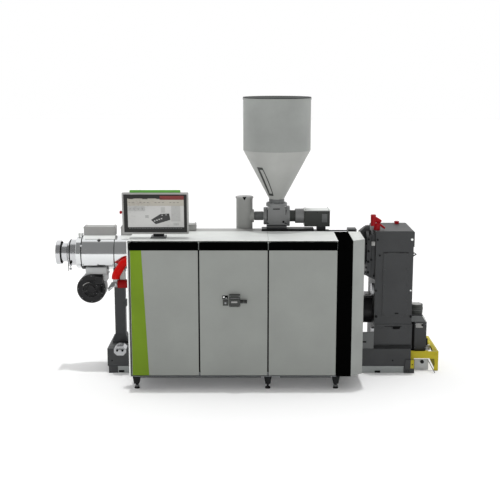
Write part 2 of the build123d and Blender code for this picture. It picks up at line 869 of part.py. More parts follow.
# Round fan housing with a rolled front lip, an inlet round the hub and a neck up to its duct
with BuildPart() as cooling_fan:
    fan_rear = fan_front_y + fan_width
    neck_left = fan_outlet_left + (fan_outlet_width - fan_neck_width) / 2
    along_y(fan_front_y, fan_rear, fan_x, fan_z, fan_radius)
    block((neck_left, fan_front_y + fan_inlet_depth, fan_z),
          (neck_left + fan_neck_width, fan_rear, fan_z + fan_radius))
    along_y(fan_front_y - fan_lip, fan_front_y, fan_x, fan_z, fan_radius)
    along_y(fan_front_y - fan_lip, fan_front_y, fan_x, fan_z, fan_radius - fan_lip_width, Mode.SUBTRACT)
    along_y(fan_front_y, fan_front_y + fan_inlet_depth, fan_x, fan_z, fan_inlet_radius, Mode.SUBTRACT)
    along_y(fan_front_y - fan_lip, fan_front_y + fan_inlet_depth, fan_x, fan_z, fan_hub_radius)
    box_low = (fan_x + fan_box_left, fan_front_y - fan_box_reach, fan_z + fan_box_bottom)
    box_high = (box_low[0] + fan_box_width, fan_front_y, box_low[2] + fan_box_height)
    block(box_low, box_high)
finish(cooling_fan, "cooling_fan")

with BuildPart() as fan_duct:
    duct_low = fan_z + fan_radius / 2
    duct_right_end = fan_outlet_left + fan_outlet_width
    duct_front = barrel_y - fan_outlet_depth
    duct_rear = barrel_y + fan_outlet_depth / 2
    flange_low = fan_z + fan_radius - duct_flange_height
    block((fan_outlet_left, duct_front, duct_low), (duct_right_end, duct_rear, barrel_z))
    block((fan_outlet_left - duct_flange, duct_front - duct_flange, flange_low),
          (duct_right_end + duct_flange, duct_rear + duct_flange, flange_low + duct_flange_height))
    ring(main_left - cover_seam, main_right + cover_seam, cover_radius, mode=Mode.SUBTRACT)
    add(cooling_fan.part, mode=Mode.SUBTRACT)
finish(fan_duct, "fan_duct")

# Columns with a flared foot, a pad and a saddle under the round cover
with BuildPart() as barrel_columns:
    pad_width = column_width + 2 * column_pad_overhang
    pad_top = beam_top + column_pad_height
    flare = degrees(atan(column_pad_overhang / column_gusset_height))
    saddle_bottom = barrel_z - cover_radius - saddle_height / 2
    for left in column_lefts:
        block((left, barrel_y - column_width / 2, beam_top),
              (left + column_width, barrel_y + column_width / 2, barrel_z))
    fillet(barrel_columns.edges().filter_by(Axis.Z), column_edge_radius)
    for left in column_lefts:
        middle = left + column_width / 2
        block((middle - pad_width / 2, barrel_y - pad_width / 2, beam_top),
              (middle + pad_width / 2, barrel_y + pad_width / 2, pad_top))
        with BuildSketch(Plane.XY.offset(pad_top)):
            with Locations((middle, barrel_y)):
                Rectangle(pad_width, pad_width)
        extrude(amount=column_gusset_height, taper=flare)
        block((left, barrel_y - saddle_width / 2, saddle_bottom),
              (left + column_width, barrel_y + saddle_width / 2, saddle_bottom + saddle_height))
    clamp_left = column_lefts[0] + column_width
    block((clamp_left, barrel_y - column_width / 2, cable_clamp_z),
          (clamp_left + cable_clamp_width, barrel_y, cable_clamp_z + cable_clamp_height))
    ring(outlet_left, base_right, cover_radius, mode=Mode.SUBTRACT)
finish(barrel_columns, "barrel_columns")

# Cooling pipes with their valve, between the cabinet's back and the barrel covers

leg_bottom = lower_pipe_z + pipe_radius + pipe_leg_gap
leg_top = leg_bottom + pipe_leg_length
manifold_right = pipe_right + manifold_width

with BuildPart() as pipe_manifold:
    block((pipe_right, cabinet_back, lower_pipe_z - pipe_radius - manifold_margin),
          (manifold_right, pipe_y + pipe_radius, upper_pipe_z + pipe_radius + manifold_margin))
    block((pipe_plate_left, pipe_y - pipe_plate_thickness / 2, lower_pipe_z),
          (pipe_plate_left + pipe_plate_width, pipe_y + pipe_plate_thickness / 2,
           upper_pipe_z - 2 * pipe_radius))
    along_x(pipe_plate_left, pipe_right, pipe_y, lower_pipe_z, pipe_radius, Mode.SUBTRACT)
finish(pipe_manifold, "pipe_manifold")

with BuildPart() as red_pipes:
    with BuildLine() as upper_route:
        FilletPolyline((pipe_right, pipe_y, upper_pipe_z), (pipe_bend_x, pipe_y, upper_pipe_z),
                       (valve_x, pipe_y, leg_top), (valve_x, pipe_y, leg_bottom), radius=pipe_bend_radius)
    with BuildSketch(Plane(origin=upper_route.line @ 0, z_dir=upper_route.line % 0)):
        Circle(pipe_radius)
    sweep(path=upper_route.line)
    along_x(valve_x + valve_radius / 2, pipe_right, pipe_y, lower_pipe_z, pipe_radius)
    add(pipe_manifold.part, mode=Mode.SUBTRACT)
finish(red_pipes, "red_pipes")

# Ball valve with its lever, cut to fit the two pipes that it joins
with BuildPart() as ball_valve:
    with Locations((valve_x, pipe_y, lower_pipe_z)):
        Sphere(valve_radius)
    upright(valve_x, pipe_y, lower_pipe_z, leg_bottom, valve_neck_radius)
    lever_y = pipe_y - valve_radius
    along_y(lever_y - valve_lever_width, pipe_y, valve_x, lower_pipe_z, valve_lever_width)
    lever_end = (valve_x, lever_y - valve_lever_width, lower_pipe_z)
    with Locations(Location(lever_end, (0, -valve_lever_slope, 0))):
        Box(valve_lever_length, valve_lever_width / 2, valve_lever_width,
            align=(Align.MAX, Align.MIN, Align.CENTER))
    add(red_pipes.part, mode=Mode.SUBTRACT)
finish(ball_valve, "ball_valve")

with BuildPart() as drain_manifold:
    drain_front = base_front - drain_reach
    drain_middle = drain_left + drain_width / 2
    drain_top = drain_bottom + drain_height
    block((drain_left, drain_front, drain_bottom),
          (drain_left + drain_width, drain_front + drain_depth, drain_top))
    chamfer(drain_manifold.edges().filter_by(Axis.Y), drain_chamfer)
    along_y(drain_front - drain_port_length, drain_front, drain_middle,
            (drain_bottom + drain_top) / 2, drain_port_radius)
    upright(drain_middle, base_front, drain_top, drain_top + drain_port_length, drain_port_radius)
    add(base_beams.part, mode=Mode.SUBTRACT)
finish(drain_manifold, "drain_manifold")

# Feed block under the hopper and the adapter from the gearbox to it

adapter_right_flange = gearbox_left - adapter_flange_width
adapter_plate_right = adapter_right_flange - adapter_flange_gap
adapter_plate_left = adapter_plate_right - adapter_plate_width
adapter_cover_left = gearbox_left - adapter_cover_reach
cooler_drum_left = gearbox_left - cooler_drum_reach

with BuildPart() as feed_block:
    block((feed_block_left, barrel_y - feed_block_depth / 2, feed_block_bottom),
          (feed_block_right, barrel_y + feed_block_depth / 2, feed_block_top))
    chamfer(feed_block.edges().filter_by(Axis.X), feed_block_chamfer)
finish(feed_block, "feed_block")

with BuildPart() as gearbox_adapter:
    ring(feed_block_right, gearbox_left, adapter_radius)
    ring(adapter_plate_left, adapter_plate_right, adapter_flange_radius, edge=cover_edge)
    ring(adapter_right_flange, gearbox_left, adapter_flange_radius, edge=cover_edge)
    rib_plane = Plane(origin=(feed_block_right, barrel_y, barrel_z), z_dir=(1, 0, 0))
    with Locations(rib_plane):
        with PolarLocations(adapter_radius, adapter_rib_count):
            Box(2 * adapter_rib_height, adapter_rib_width, adapter_cover_left - feed_block_right,
                align=(Align.CENTER, Align.CENTER, Align.MIN))
    block((adapter_cover_left, barrel_y - adapter_cover_depth / 2, barrel_z),
          (adapter_cover_left + adapter_cover_width, barrel_y + adapter_cover_depth / 2, adapter_cover_top))
    drum_right = cooler_drum_left + cooler_drum_width
    fin_pitch = (cooler_drum_width - cooler_fin_width) / (cooler_fin_count - 1)
    block((cooler_drum_left + cooler_fin_width, barrel_y - cooler_saddle_width / 2, barrel_z),
          (drum_right - cooler_fin_width, barrel_y + cooler_saddle_width / 2, cooler_drum_z))
    along_x(cooler_drum_left, drum_right, barrel_y, cooler_drum_z, cooler_drum_core)
    for i in range(cooler_fin_count):
        fin_left = cooler_drum_left + i * fin_pitch
        along_x(fin_left, fin_left + cooler_fin_width, barrel_y, cooler_drum_z, cooler_drum_radius)
    drum_top = cooler_drum_z + cooler_drum_radius
    slab([(cooler_drum_left, drum_top), (cooler_drum_left, drum_top - cooler_slant_drop),
          (cooler_drum_left + cooler_slant_length, drum_top)],
         barrel_y - cooler_drum_radius, barrel_y + cooler_drum_radius, Mode.SUBTRACT)
finish(gearbox_adapter, "gearbox_adapter")

# Gearbox: lower housing, upper housing, cap, joint flange, front cover and lifting lug

with BuildPart() as gearbox:
    upper_right = gearbox_right - gearbox_lip
    cap_bottom = gearbox_top - gearbox_cap_height
    block((gearbox_left, gearbox_front, beam_top), (gearbox_right, gearbox_rear, gearbox_joint_z))
    block((gearbox_left, gearbox_front, gearbox_joint_z), (upper_right, gearbox_rear, cap_bottom))
    block((gearbox_left, gearbox_front, cap_bottom), (gearbox_right, gearbox_rear, gearbox_top))
    chamfer(gearbox.faces().sort_by(Axis.Z)[-1].edges(), gearbox_corner)
    block((gearbox_left, gearbox_front - gearbox_joint_reach, gearbox_joint_z - gearbox_joint_height / 2),
          (gearbox_right, gearbox_rear + gearbox_joint_reach, gearbox_joint_z + gearbox_joint_height / 2))
    block((gearbox_left, gearbox_front - gearbox_joint_reach, beam_top),
          (gearbox_right, gearbox_rear, beam_top + gearbox_foot_height))
    with BuildSketch(Plane.XZ.offset(-gearbox_front)):
        with Locations((gearbox_left + gearbox_panel_left + gearbox_panel_width / 2,
                        gearbox_panel_bottom + gearbox_panel_height / 2)):
            RectangleRounded(gearbox_panel_width, gearbox_panel_height, gearbox_panel_corner)
    extrude(amount=gearbox_panel_reach)
    pocket_left = gearbox_left + gearbox_pocket_left
    pocket_right = pocket_left + gearbox_pocket_width
    pocket_top = gearbox_joint_z - gearbox_joint_height / 2
    slab([(pocket_left, pocket_top), (pocket_right, pocket_top),
          (pocket_right - gearbox_pocket_depth, pocket_top - gearbox_pocket_height),
          (pocket_left + gearbox_pocket_depth, pocket_top - gearbox_pocket_height)],
         gearbox_front, gearbox_front + gearbox_pocket_depth, Mode.SUBTRACT)
    lug_front = gearbox_front + lug_thickness
    slab([(upper_right, lug_z), (upper_right + lug_reach, lug_z + lug_height / 2),
          (upper_right, lug_z + lug_height)], lug_front, lug_front + lug_thickness)
    along_y(lug_front, lug_front + lug_thickness, upper_right + lug_reach / 3, lug_z + lug_height / 2,
            lug_hole_radius, Mode.SUBTRACT)
finish(gearbox, "gearbox")

with BuildPart() as gearbox_fittings:
    fitting_left = gearbox_left - fitting_thickness
    along_x(fitting_left, gearbox_left, gearbox_front + fitting_inset, fitting_z, fitting_radius)
    block((fitting_left, gearbox_front, fitting_lug_bottom),
          (gearbox_left, gearbox_front + fitting_lug_depth, fitting_lug_bottom + fitting_lug_height))
finish(gearbox_fittings, "gearbox_fittings")

# Oil filter with its arm, and the filler cap, on the gearbox's top
with BuildPart() as gearbox_breather:
    filter_x = gearbox_left + filter_inset_x
    filter_y = gearbox_front + filter_inset_y
    head_x = filter_x - filter_head_shift
    head_z = gearbox_top + filter_height + filter_head_height / 2
    upright(filter_x, filter_y, gearbox_top, gearbox_top + filter_height, filter_radius)
    fillet(gearbox_breather.edges().group_by(Axis.Z)[-1], filter_radius / 3)
    upright(head_x, filter_y, gearbox_top + filter_height - filter_head_radius,
            gearbox_top + filter_height + filter_head_height, filter_head_radius)
    fillet(gearbox_breather.edges().group_by(Axis.Z)[-1], filter_head_radius / 3)
    with Locations(Location((head_x, filter_y, head_z), (0, 90 + filter_arm_slope, 0))):
        Cylinder(filter_arm_radius, filter_arm_length, align=(Align.CENTER, Align.CENTER, Align.MIN))
    block((gearbox_left, gearbox_front, beam_top), (gearbox_right, gearbox_rear, gearbox_top), Mode.SUBTRACT)
    cap_x = gearbox_left + cap_inset_x
    cap_y = gearbox_front + cap_inset_y
    upright(cap_x, cap_y, gearbox_top, gearbox_top + cap_height, cap_radius)
finish(gearbox_breather, "gearbox_breather")

# Drive motor: finned round its frame, with a fan cowl, an end shield, feet and a terminal box

with BuildPart() as drive_motor:
    fins_left = motor_left + motor_cowl_length
    fins_right = motor_right - motor_shield_length
    along_x(motor_left, motor_right, barrel_y, motor_z, motor_core_radius)
    with Locations(Plane(origin=(fins_left, barrel_y, motor_z), z_dir=(1, 0, 0))):
        with PolarLocations(motor_core_radius, motor_fin_count):
            Box(2 * (motor_radius - motor_core_radius), motor_fin_width, fins_right - fins_left,
                align=(Align.CENTER, Align.CENTER, Align.MIN))
    along_x(motor_left, fins_left, barrel_y, motor_z, motor_radius)
    along_x(fins_right, motor_right, barrel_y, motor_z, motor_radius)
    end_edges = drive_motor.edges().filter_by(GeomType.CIRCLE).group_by(Axis.X)[0]
    chamfer(end_edges, motor_cowl_chamfer)
    for left in motor_foot_lefts:
        block((left, barrel_y - motor_foot_spread / 2, beam_top),
              (left + motor_foot_width, barrel_y + motor_foot_spread / 2, beam_top + motor_foot_plate))
        for side in (-1, 1):
            web_y = barrel_y + side * (motor_foot_spread / 2 - motor_foot_plate)
            block((left, web_y - motor_foot_plate / 2, beam_top),
                  (left + motor_foot_width, web_y + motor_foot_plate / 2, motor_z))
    box_left = motor_left + motor_box_inset
    box_top = motor_z + motor_radius + motor_box_height
    block((box_left, barrel_y - motor_box_width / 2, motor_z),
          (box_left + motor_box_length, barrel_y + motor_box_width / 2, box_top))
finish(drive_motor, "drive_motor")

with BuildPart() as coupling_housing:
    along_x(motor_right, gearbox_left, barrel_y, motor_z, coupling_radius)
    along_x(motor_right, motor_right + coupling_flange_width, barrel_y, motor_z, coupling_flange_radius)
    block((gearbox_left - coupling_plate_length, barrel_y - coupling_plate_width / 2, motor_z),
          (gearbox_left, barrel_y + coupling_plate_width / 2, coupling_plate_top))
finish(coupling_housing, "coupling_housing")

# Lubrication unit

cooler_left = gearbox_right + cooler_gap
cooler_right = cooler_left + cooler_width
cooler_rear = cooler_front + cooler_depth
hood_top = cooler_top + hood_height

with BuildPart() as oil_cooler:
    block((cooler_left, cooler_front, cooler_bottom), (cooler_right, cooler_rear, cooler_top))
    fillet(oil_cooler.edges().filter_by(Axis.Z), cooler_corner)
    block((gearbox_right, cooler_front + bracket_inset, cooler_bottom + bracket_inset),
          (cooler_left, cooler_rear - bracket_inset, cooler_top - bracket_inset))
    slab([(cooler_left - hood_left_reach, cooler_top), (cooler_right, cooler_top),
          (cooler_right - hood_slope, hood_top), (cooler_left - hood_left_reach, hood_top)],
         cooler_front + hood_inset, cooler_rear - hood_inset)
finish(oil_cooler, "oil_cooler")

with BuildPart() as oil_pump:
    pump_middle = cooler_left + pump_x
    pump_y = (cooler_front + cooler_rear) / 2
    flange_bottom = hood_top + pump_height / 2
    upright(pump_middle, pump_y, hood_top, hood_top + pump_height, pump_radius)
    chamfer(oil_pump.edges().group_by(Axis.Z)[-1], pump_flange)
    upright(pump_middle, pump_y, flange_bottom, flange_bottom + pump_flange_height, pump_radius + pump_flange)
finish(oil_pump, "oil_pump")

# Guard rail on the floor round the lubrication unit

guard_top = guard_bottom + guard_height
guard_left = base_right
guard_right = guard_left + guard_length
outer_post_left = guard_right - guard_outer_post
inner_post_right = guard_left + guard_inner_post

with BuildPart() as guard_posts:
    for front in (guard_front, guard_rear - guard_post_depth):
        block((guard_left, front, 0), (inner_post_right, front + guard_post_depth, guard_top))
        block((outer_post_left, front, 0), (guard_right, front + guard_post_depth, guard_top))
        slab([(outer_post_left, guard_bottom), (outer_post_left, guard_bottom - guard_brace_height),
              (outer_post_left - guard_brace_width, guard_bottom)],
             front, front + guard_brace_thickness)
finish(guard_posts, "guard_posts")

with BuildPart() as guard_rails:
    for front in (guard_front, guard_rear - guard_bar):
        block((inner_post_right, front, guard_bottom), (outer_post_left, front + guard_bar, guard_top))
    block((guard_right - guard_bar, guard_front + guard_post_depth, guard_bottom),
          (guard_right, guard_rear - guard_post_depth, guard_top))
finish(guard_rails, "guard_rails")

# Feeder under the hopper, on its rail

feeder_left = hopper_x - feeder_width / 2
feeder_right = hopper_x + feeder_width / 2
feeder_front = barrel_y - feeder_depth / 2
feeder_rear = barrel_y + feeder_depth / 2
rail_top = feed_block_top + rail_plate + rail_bar_height
base_top = rail_top + feeder_base_height
tube_left = down_pipe_x + down_pipe_radius
tube_right = feeder_left - feeder_side_flange
drive_box_right = drive_box_left + drive_box_width
stand_left = drive_box_left + drive_stand_left

with BuildPart() as feeder_rail:
    block((down_pipe_x - down_pipe_radius, barrel_y - rail_half_width, feed_block_top),
          (drive_box_right, barrel_y + rail_half_width, feed_block_top + rail_plate))
    block((rail_bar_left, barrel_y - rail_half_width, feed_block_top + rail_plate),
          (rail_bar_right, barrel_y + rail_half_width, rail_top))
    block((stand_left, barrel_y - drive_stand_depth / 2, feed_block_top + rail_plate),
          (stand_left + drive_stand_width, barrel_y + drive_stand_depth / 2, drive_box_bottom))
finish(feeder_rail, "feeder_rail")

with BuildPart() as feeder_body:
    block((feeder_left, feeder_front, feeder_bottom), (feeder_right, feeder_rear, feeder_top))
    chamfer(feeder_body.edges().filter_by(Axis.Y), feeder_chamfer)
    block((feeder_left + feeder_recess_inset, feeder_front, feeder_bottom + feeder_recess_inset),
          (feeder_right - feeder_recess_inset, feeder_front + feeder_recess_depth,
           feeder_top - feeder_recess_inset), Mode.SUBTRACT)
    chamfer(feeder_body.edges().filter_by(Axis.Y).filter_by(
        lambda edge: edge.length < 2 * feeder_recess_depth), feeder_chamfer)
    block((hopper_x - feeder_base_width / 2, barrel_y - feeder_base_depth / 2, rail_top),
          (hopper_x + feeder_base_width / 2, barrel_y + feeder_base_depth / 2, base_top))
    upright(hopper_x, barrel_y, feeder_top, feeder_flange_top, hopper_flange_radius)
    along_x(tube_right, feeder_left, barrel_y, feed_tube_z, feeder_left_flange_radius)
    along_x(feeder_right, feeder_right + feeder_side_flange, barrel_y, feed_tube_z,
            feeder_right_flange_radius)
finish(feeder_body, "feeder_body")

with BuildPart() as down_pipe:
    upright(down_pipe_x, barrel_y, feed_block_top + rail_plate, down_pipe_top, down_pipe_radius)
    upright(down_pipe_x, barrel_y, down_pipe_top - down_pipe_rim_height, down_pipe_top,
            down_pipe_radius + down_pipe_rim)
    along_x(down_pipe_x, tube_left + tube_flange_width, barrel_y, feed_tube_z, tube_flange_radius)
    along_x(tube_left, tube_right, barrel_y, feed_tube_z, feed_tube_radius)
finish(down_pipe, "down_pipe")

with BuildPart() as feeder_drive:
    drum_left = drive_box_left - gear_drum_width
    box_front = barrel_y - drive_box_depth / 2
    box_rear = barrel_y + drive_box_depth / 2
    along_x(feeder_right + feeder_side_flange, drum_left, barrel_y, feed_tube_z, coupler_radius)
    along_x(drum_left, drive_box_left, barrel_y, feed_tube_z, gear_drum_radius)
    block((drive_box_left, box_front, drive_box_bottom), (drive_box_right, box_rear, drive_box_top))
    block((drive_box_left - drive_lid_lip, box_front - drive_lid_lip, drive_box_top),
          (drive_box_right + drive_lid_lip, box_rear + drive_lid_lip, drive_box_top + drive_lid_height))
finish(feeder_drive, "feeder_drive")

# Hopper, turned on its own upright axis

hopper_plane = Plane(origin=(hopper_x, barrel_y, 0), x_dir=(1, 0, 0), z_dir=(0, -1, 0))
hopper_axis = Axis((hopper_x, barrel_y, 0), (0, 0, 1))

with BuildPart() as hopper_cone:
    with BuildSketch(hopper_plane):
        with BuildLine():
            Polyline((hopper_outlet_radius, feeder_flange_top), (hopper_outlet_radius, hopper_cone_bottom),
                     (hopper_radius, hopper_drum_bottom), (hopper_radius - hopper_wall, hopper_drum_bottom),
                     (hopper_outlet_radius - hopper_wall, hopper_cone_bottom),
                     (hopper_outlet_radius - hopper_wall, feeder_flange_top), close=True)
        make_face()
    revolve(axis=hopper_axis)
finish(hopper_cone, "hopper_cone")

with BuildPart() as hopper_drum:
    with BuildSketch(hopper_plane):
        with BuildLine():
            band_top = hopper_top - hopper_band_drop
            band_bottom = band_top - hopper_band_height
            Polyline((hopper_radius - hopper_wall, hopper_drum_bottom), (hopper_radius, hopper_drum_bottom),
                     (hopper_radius, band_bottom), (hopper_radius + hopper_band_reach, band_bottom),
                     (hopper_radius + hopper_band_reach, band_top), (hopper_radius, band_top),
                     (hopper_radius, hopper_top), (hopper_radius - hopper_wall, hopper_top), close=True)
        make_face()
    revolve(axis=hopper_axis)
finish(hopper_drum, "hopper_drum")
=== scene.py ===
"""Plastic extruder: finishes, small hardware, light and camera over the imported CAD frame.

Every place is in the frame's own metres: X along the machine, Y away from the operator, Z up.
"""

import json
import logging
from dataclasses import dataclass, field
from enum import Enum
from functools import lru_cache
from itertools import product
from math import cos, pi, radians, sin
from typing import Iterable, Optional, Sequence, Union

import bmesh
import bpy
from mathutils import Matrix, Vector


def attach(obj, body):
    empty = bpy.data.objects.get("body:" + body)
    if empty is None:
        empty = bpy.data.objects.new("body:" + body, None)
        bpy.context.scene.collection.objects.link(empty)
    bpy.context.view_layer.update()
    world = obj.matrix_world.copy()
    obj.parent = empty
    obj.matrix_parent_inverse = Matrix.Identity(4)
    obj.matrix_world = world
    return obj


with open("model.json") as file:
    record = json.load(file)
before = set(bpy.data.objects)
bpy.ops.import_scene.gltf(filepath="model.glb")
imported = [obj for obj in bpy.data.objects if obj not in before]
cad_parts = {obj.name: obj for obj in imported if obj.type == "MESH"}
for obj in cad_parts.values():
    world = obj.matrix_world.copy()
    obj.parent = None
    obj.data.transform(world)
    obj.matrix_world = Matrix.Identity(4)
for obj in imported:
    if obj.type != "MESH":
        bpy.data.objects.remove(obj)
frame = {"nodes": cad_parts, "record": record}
log = logging.getLogger("extruder")

Colour = tuple[float, float, float]
Point = tuple[float, float, float]

FRONT: Point = (0.0, -1.0, 0.0)
REAR: Point = (0.0, 1.0, 0.0)
UP: Point = (0.0, 0.0, 1.0)
DOWN: Point = (0.0, 0.0, -1.0)
LEFT: Point = (-1.0, 0.0, 0.0)
RIGHT: Point = (1.0, 0.0, 0.0)

SOFT_CORNER = 0.0022  # metres of a corner that the shading rounds
WORN_BAND = 0.005  # metres beside an edge that can be worn
SHARP_ANGLE = 34  # degrees from which an edge stays sharp
CLOUDS = (3.5, 4.0)  # scale and detail of the broad clouds of colour
SPECKS = (48.0, 6.0)  # scale and detail of the dark specks
WORN_SPOTS = (30.0, 5.0)  # scale and detail of the spots in which edges are worn
ROUGHNESS_SPREAD = 0.18  # share by which the roughness varies


def linear(red: int, green: int, blue: int) -> Colour:
    """Turn a colour as a photo shows it, 0 to 255, into the linear values that shaders use."""
    return tuple(c / 12.92 if c <= 0.04045 else ((c + 0.055) / 1.055) ** 2.4
                 for c in (red / 255, green / 255, blue / 255))


def circle(centre: Point, axis: Point, radius: float, count: int, share: float = 0.0) -> list[Point]:
    """Places round a circle.

    Args:
        centre: Its middle.
        axis: The way that it faces, along X, Y or Z.
        radius: Its radius.
        count: Number of places.
        share: Share of one step by which the first place is turned.

    Returns:
        The places in the frame.
    """
    first, second = (i for i in range(3) if not axis[i])
    places = []
    for step in range(count):
        angle = 2 * pi * (step + share) / count
        place = list(centre)
        place[first] += radius * cos(angle)
        place[second] += radius * sin(angle)
        places.append(tuple(place))
    return places


class Wire:
    """A shader socket that can be used in plain formulas.

    Args:
        graph: The material that the socket is in.
        socket: The node's output socket.
    """

    def __init__(self, graph: "Graph", socket: bpy.types.NodeSocket):
        self.graph = graph
        self.socket = socket

    def __add__(self, other: "Value") -> "Wire":
        """Sum."""
        return self.graph.maths("ADD", self, other)

    __radd__ = __add__

    def __mul__(self, other: "Value") -> "Wire":
        """Product."""
        return self.graph.maths("MULTIPLY", self, other)

    __rmul__ = __mul__


Value = Union[Wire, float]


class Graph:
    """The node tree of a material or of the world.

    Args:
        owner: The material or world, new and unused.
    """

    def __init__(self, owner: Union[bpy.types.Material, bpy.types.World]):
        self.owner = owner
        owner.use_nodes = True
        self.tree = owner.node_tree
        self.tree.nodes.clear()

    def node(self, kind: str, settings: Optional[dict] = None, inputs: Optional[dict] = None,
             output: Union[int, str, None] = 0) -> Optional[Wire]:
        """Add a node: its type and settings first, then its values and links.

        Args:
            kind: Blender's name of the node type.
            settings: Properties of the node.
            inputs: Values or wires by input name or number.
            output: The output that the returned wire stands for, or None.

        Returns:
            The wire of that output.
        """
        made = self.tree.nodes.new(kind)
        for key, value in (settings or {}).items():
            setattr(made, key, value)
        for key, value in (inputs or {}).items():
            if isinstance(value, Wire):
                self.tree.links.new(value.socket, made.inputs[key])
            else:
                made.inputs[key].default_value = value
        return None if output is None else Wire(self, made.outputs[output])

    def maths(self, operation: str, *values: Value) -> Wire:
        """Join number sockets with a Math node."""
        return self.node("ShaderNodeMath", {"operation": operation}, dict(enumerate(values)))

    def noise(self, where: Wire, scale: float, detail: float = 3.0) -> Wire:
        """Noise from 0 to 1 at a scale in cycles a metre."""
        return self.node("ShaderNodeTexNoise", None, {"Vector": where, "Scale": scale, "Detail": detail})

    def spread(self, value: Wire, low: float, high: float, to_low: float = 0.0, to_high: float = 1.0) -> Wire:
        """Stretch the part of a value between low and high, and clamp the rest."""
        return self.node("ShaderNodeMapRange", {"clamp": True},
                         {0: value, 1: low, 2: high, 3: to_low, 4: to_high})

    def stretched(self, where: Wire, scale: Point) -> Wire:
        """Coordinates stretched along the axes."""
        return self.node("ShaderNodeVectorMath", {"operation": "MULTIPLY"}, {0: where, 1: scale})

    def mix(self, share: Wire, first: Union[Wire, Colour], second: Union[Wire, Colour]) -> Wire:
        """Mix two colours."""
        ends = [c if isinstance(c, Wire) else (*c, 1.0) for c in (first, second)]
        return self.node("ShaderNodeMix", {"data_type": "RGBA"}, {0: share, 6: ends[0], 7: ends[1]}, 2)

    def output(self, surface: Wire, kind: str = "Material") -> Union[bpy.types.Material, bpy.types.World]:
        """Link the surface to the output and hand over the material or world."""
        self.node(f"ShaderNodeOutput{kind}", None, {"Surface": surface}, None)
        return self.owner


class Texture(Enum):
    """How a surface is grained."""

    PEEL = "powder coat with orange peel"
    CAST = "rough casting under paint"
    BRUSHED = "brushed along one axis"
    TURNED = "turned rings round X"
    MOULDED = "moulded plastic or rubber"
    POLISHED = "smooth glass or gloss panel"


@dataclass(frozen=True)
class Finish:
    """One surface finish.

    Args:
        name: The material's name.
        colour: Main colour, linear.
        roughness: Mean roughness.
        texture: How the surface is grained.
        metallic: 1 for bare metal.
        coat: Weight of a clear coat.
        mottle: Share by which the colour varies in broad clouds.
        relief: Depth of the bump, in metres.
        wear: How far worn edges go towards the worn colour.
        worn: Colour of worn edges, linear.
        glow: Strength of its own light; real light on the screen and the signal lamp, painted light on the other
            finishes.
        shine: Level of the plain reflection; 0.5 is common paint.
    """

    name: str
    colour: Colour
    roughness: float
    texture: Texture = Texture.PEEL
    metallic: float = 0.0
    coat: float = 0.0
    mottle: float = 0.06
    relief: float = 0.0004
    wear: float = 0.25
    worn: Colour = (0.45, 0.45, 0.44)
    glow: float = 0.0
    shine: float = 0.5

    def grain(self, graph: Graph, where: Wire) -> Wire:
        """The height of the fine grain, from 0 to 1."""
        if self.texture is Texture.PEEL:
            return graph.noise(where, 420.0, 2.0)
        if self.texture is Texture.CAST:
            return graph.noise(where, 160.0, 5.0) * 0.7 + graph.noise(where, 900.0, 2.0) * 0.3
        if self.texture is Texture.BRUSHED:
            return graph.noise(graph.stretched(where, (6.0, 900.0, 900.0)), 1.0, 4.0)
        if self.texture is Texture.TURNED:
            return graph.noise(graph.stretched(where, (1500.0, 12.0, 12.0)), 1.0, 3.0)
        if self.texture is Texture.MOULDED:
            return graph.noise(where, 1300.0, 2.0)
        return graph.noise(where, 60.0, 1.0)

    @lru_cache(maxsize=None)
    def material(self) -> bpy.types.Material:
        """Build the finish once.

        Returns:
            The material, with broad clouds, fine grain, worn edges and soft corners.
        """
        graph = Graph(bpy.data.materials.new(self.name))
        where = graph.node("ShaderNodeTexCoord", output="Object")
        clouds = graph.noise(where, *CLOUDS)
        specks = graph.spread(graph.noise(where, *SPECKS), 0.55, 0.8)
        grain = self.grain(graph, where)
        dark = tuple(c * (1.0 - 2.0 * self.mottle) for c in self.colour)
        light = tuple(min(1.0, c * (1.0 + self.mottle)) for c in self.colour)
        shade = graph.mix(graph.spread(clouds, 0.3, 0.7), dark, light)
        shade = graph.mix(specks * (self.mottle * 1.5), shade, tuple(c * 0.6 for c in self.colour))
        soft = graph.node("ShaderNodeBevel", {"samples": 4}, {"Radius": SOFT_CORNER})
        flat = graph.node("ShaderNodeNewGeometry", output="Normal")
        wide = graph.node("ShaderNodeBevel", {"samples": 4}, {"Radius": WORN_BAND})
        aligned = graph.node("ShaderNodeVectorMath", {"operation": "DOT_PRODUCT"}, {0: wide, 1: flat}, "Value")
        edges = graph.spread(aligned, 0.995, 0.86) * graph.spread(graph.noise(where, *WORN_SPOTS), 0.42, 0.62)
        if self.wear:
            shade = graph.mix(edges * self.wear, shade, self.worn)
        rough = graph.spread(grain * 0.5 + clouds * 0.5, 0.3, 0.7, self.roughness * (1 - ROUGHNESS_SPREAD),
                             min(1.0, self.roughness * (1 + ROUGHNESS_SPREAD)))
        bump = graph.node("ShaderNodeBump", None, {"Strength": 0.5, "Distance": self.relief,
                                                   "Height": grain, "Normal": soft})
        values = {"Base Color": shade, "Roughness": rough, "Metallic": self.metallic,
                  "Coat Weight": self.coat, "Normal": bump, "Specular IOR Level": self.shine}
        # Emission: real on the screen and signal lamp, painted light on the glowing white and lit yellow finishes.
        if self.glow:
            values.update({"Emission Color": shade, "Emission Strength": self.glow})
        return graph.output(graph.node("ShaderNodeBsdfPrincipled", None, values))


def picture(name: str, colour: Colour, glow: float = 0.0) -> Finish:
    """The finish of a patch of the picture on the screen."""
    return Finish(name, colour, 0.3, Texture.POLISHED, wear=0.0, relief=0.00002, glow=glow)


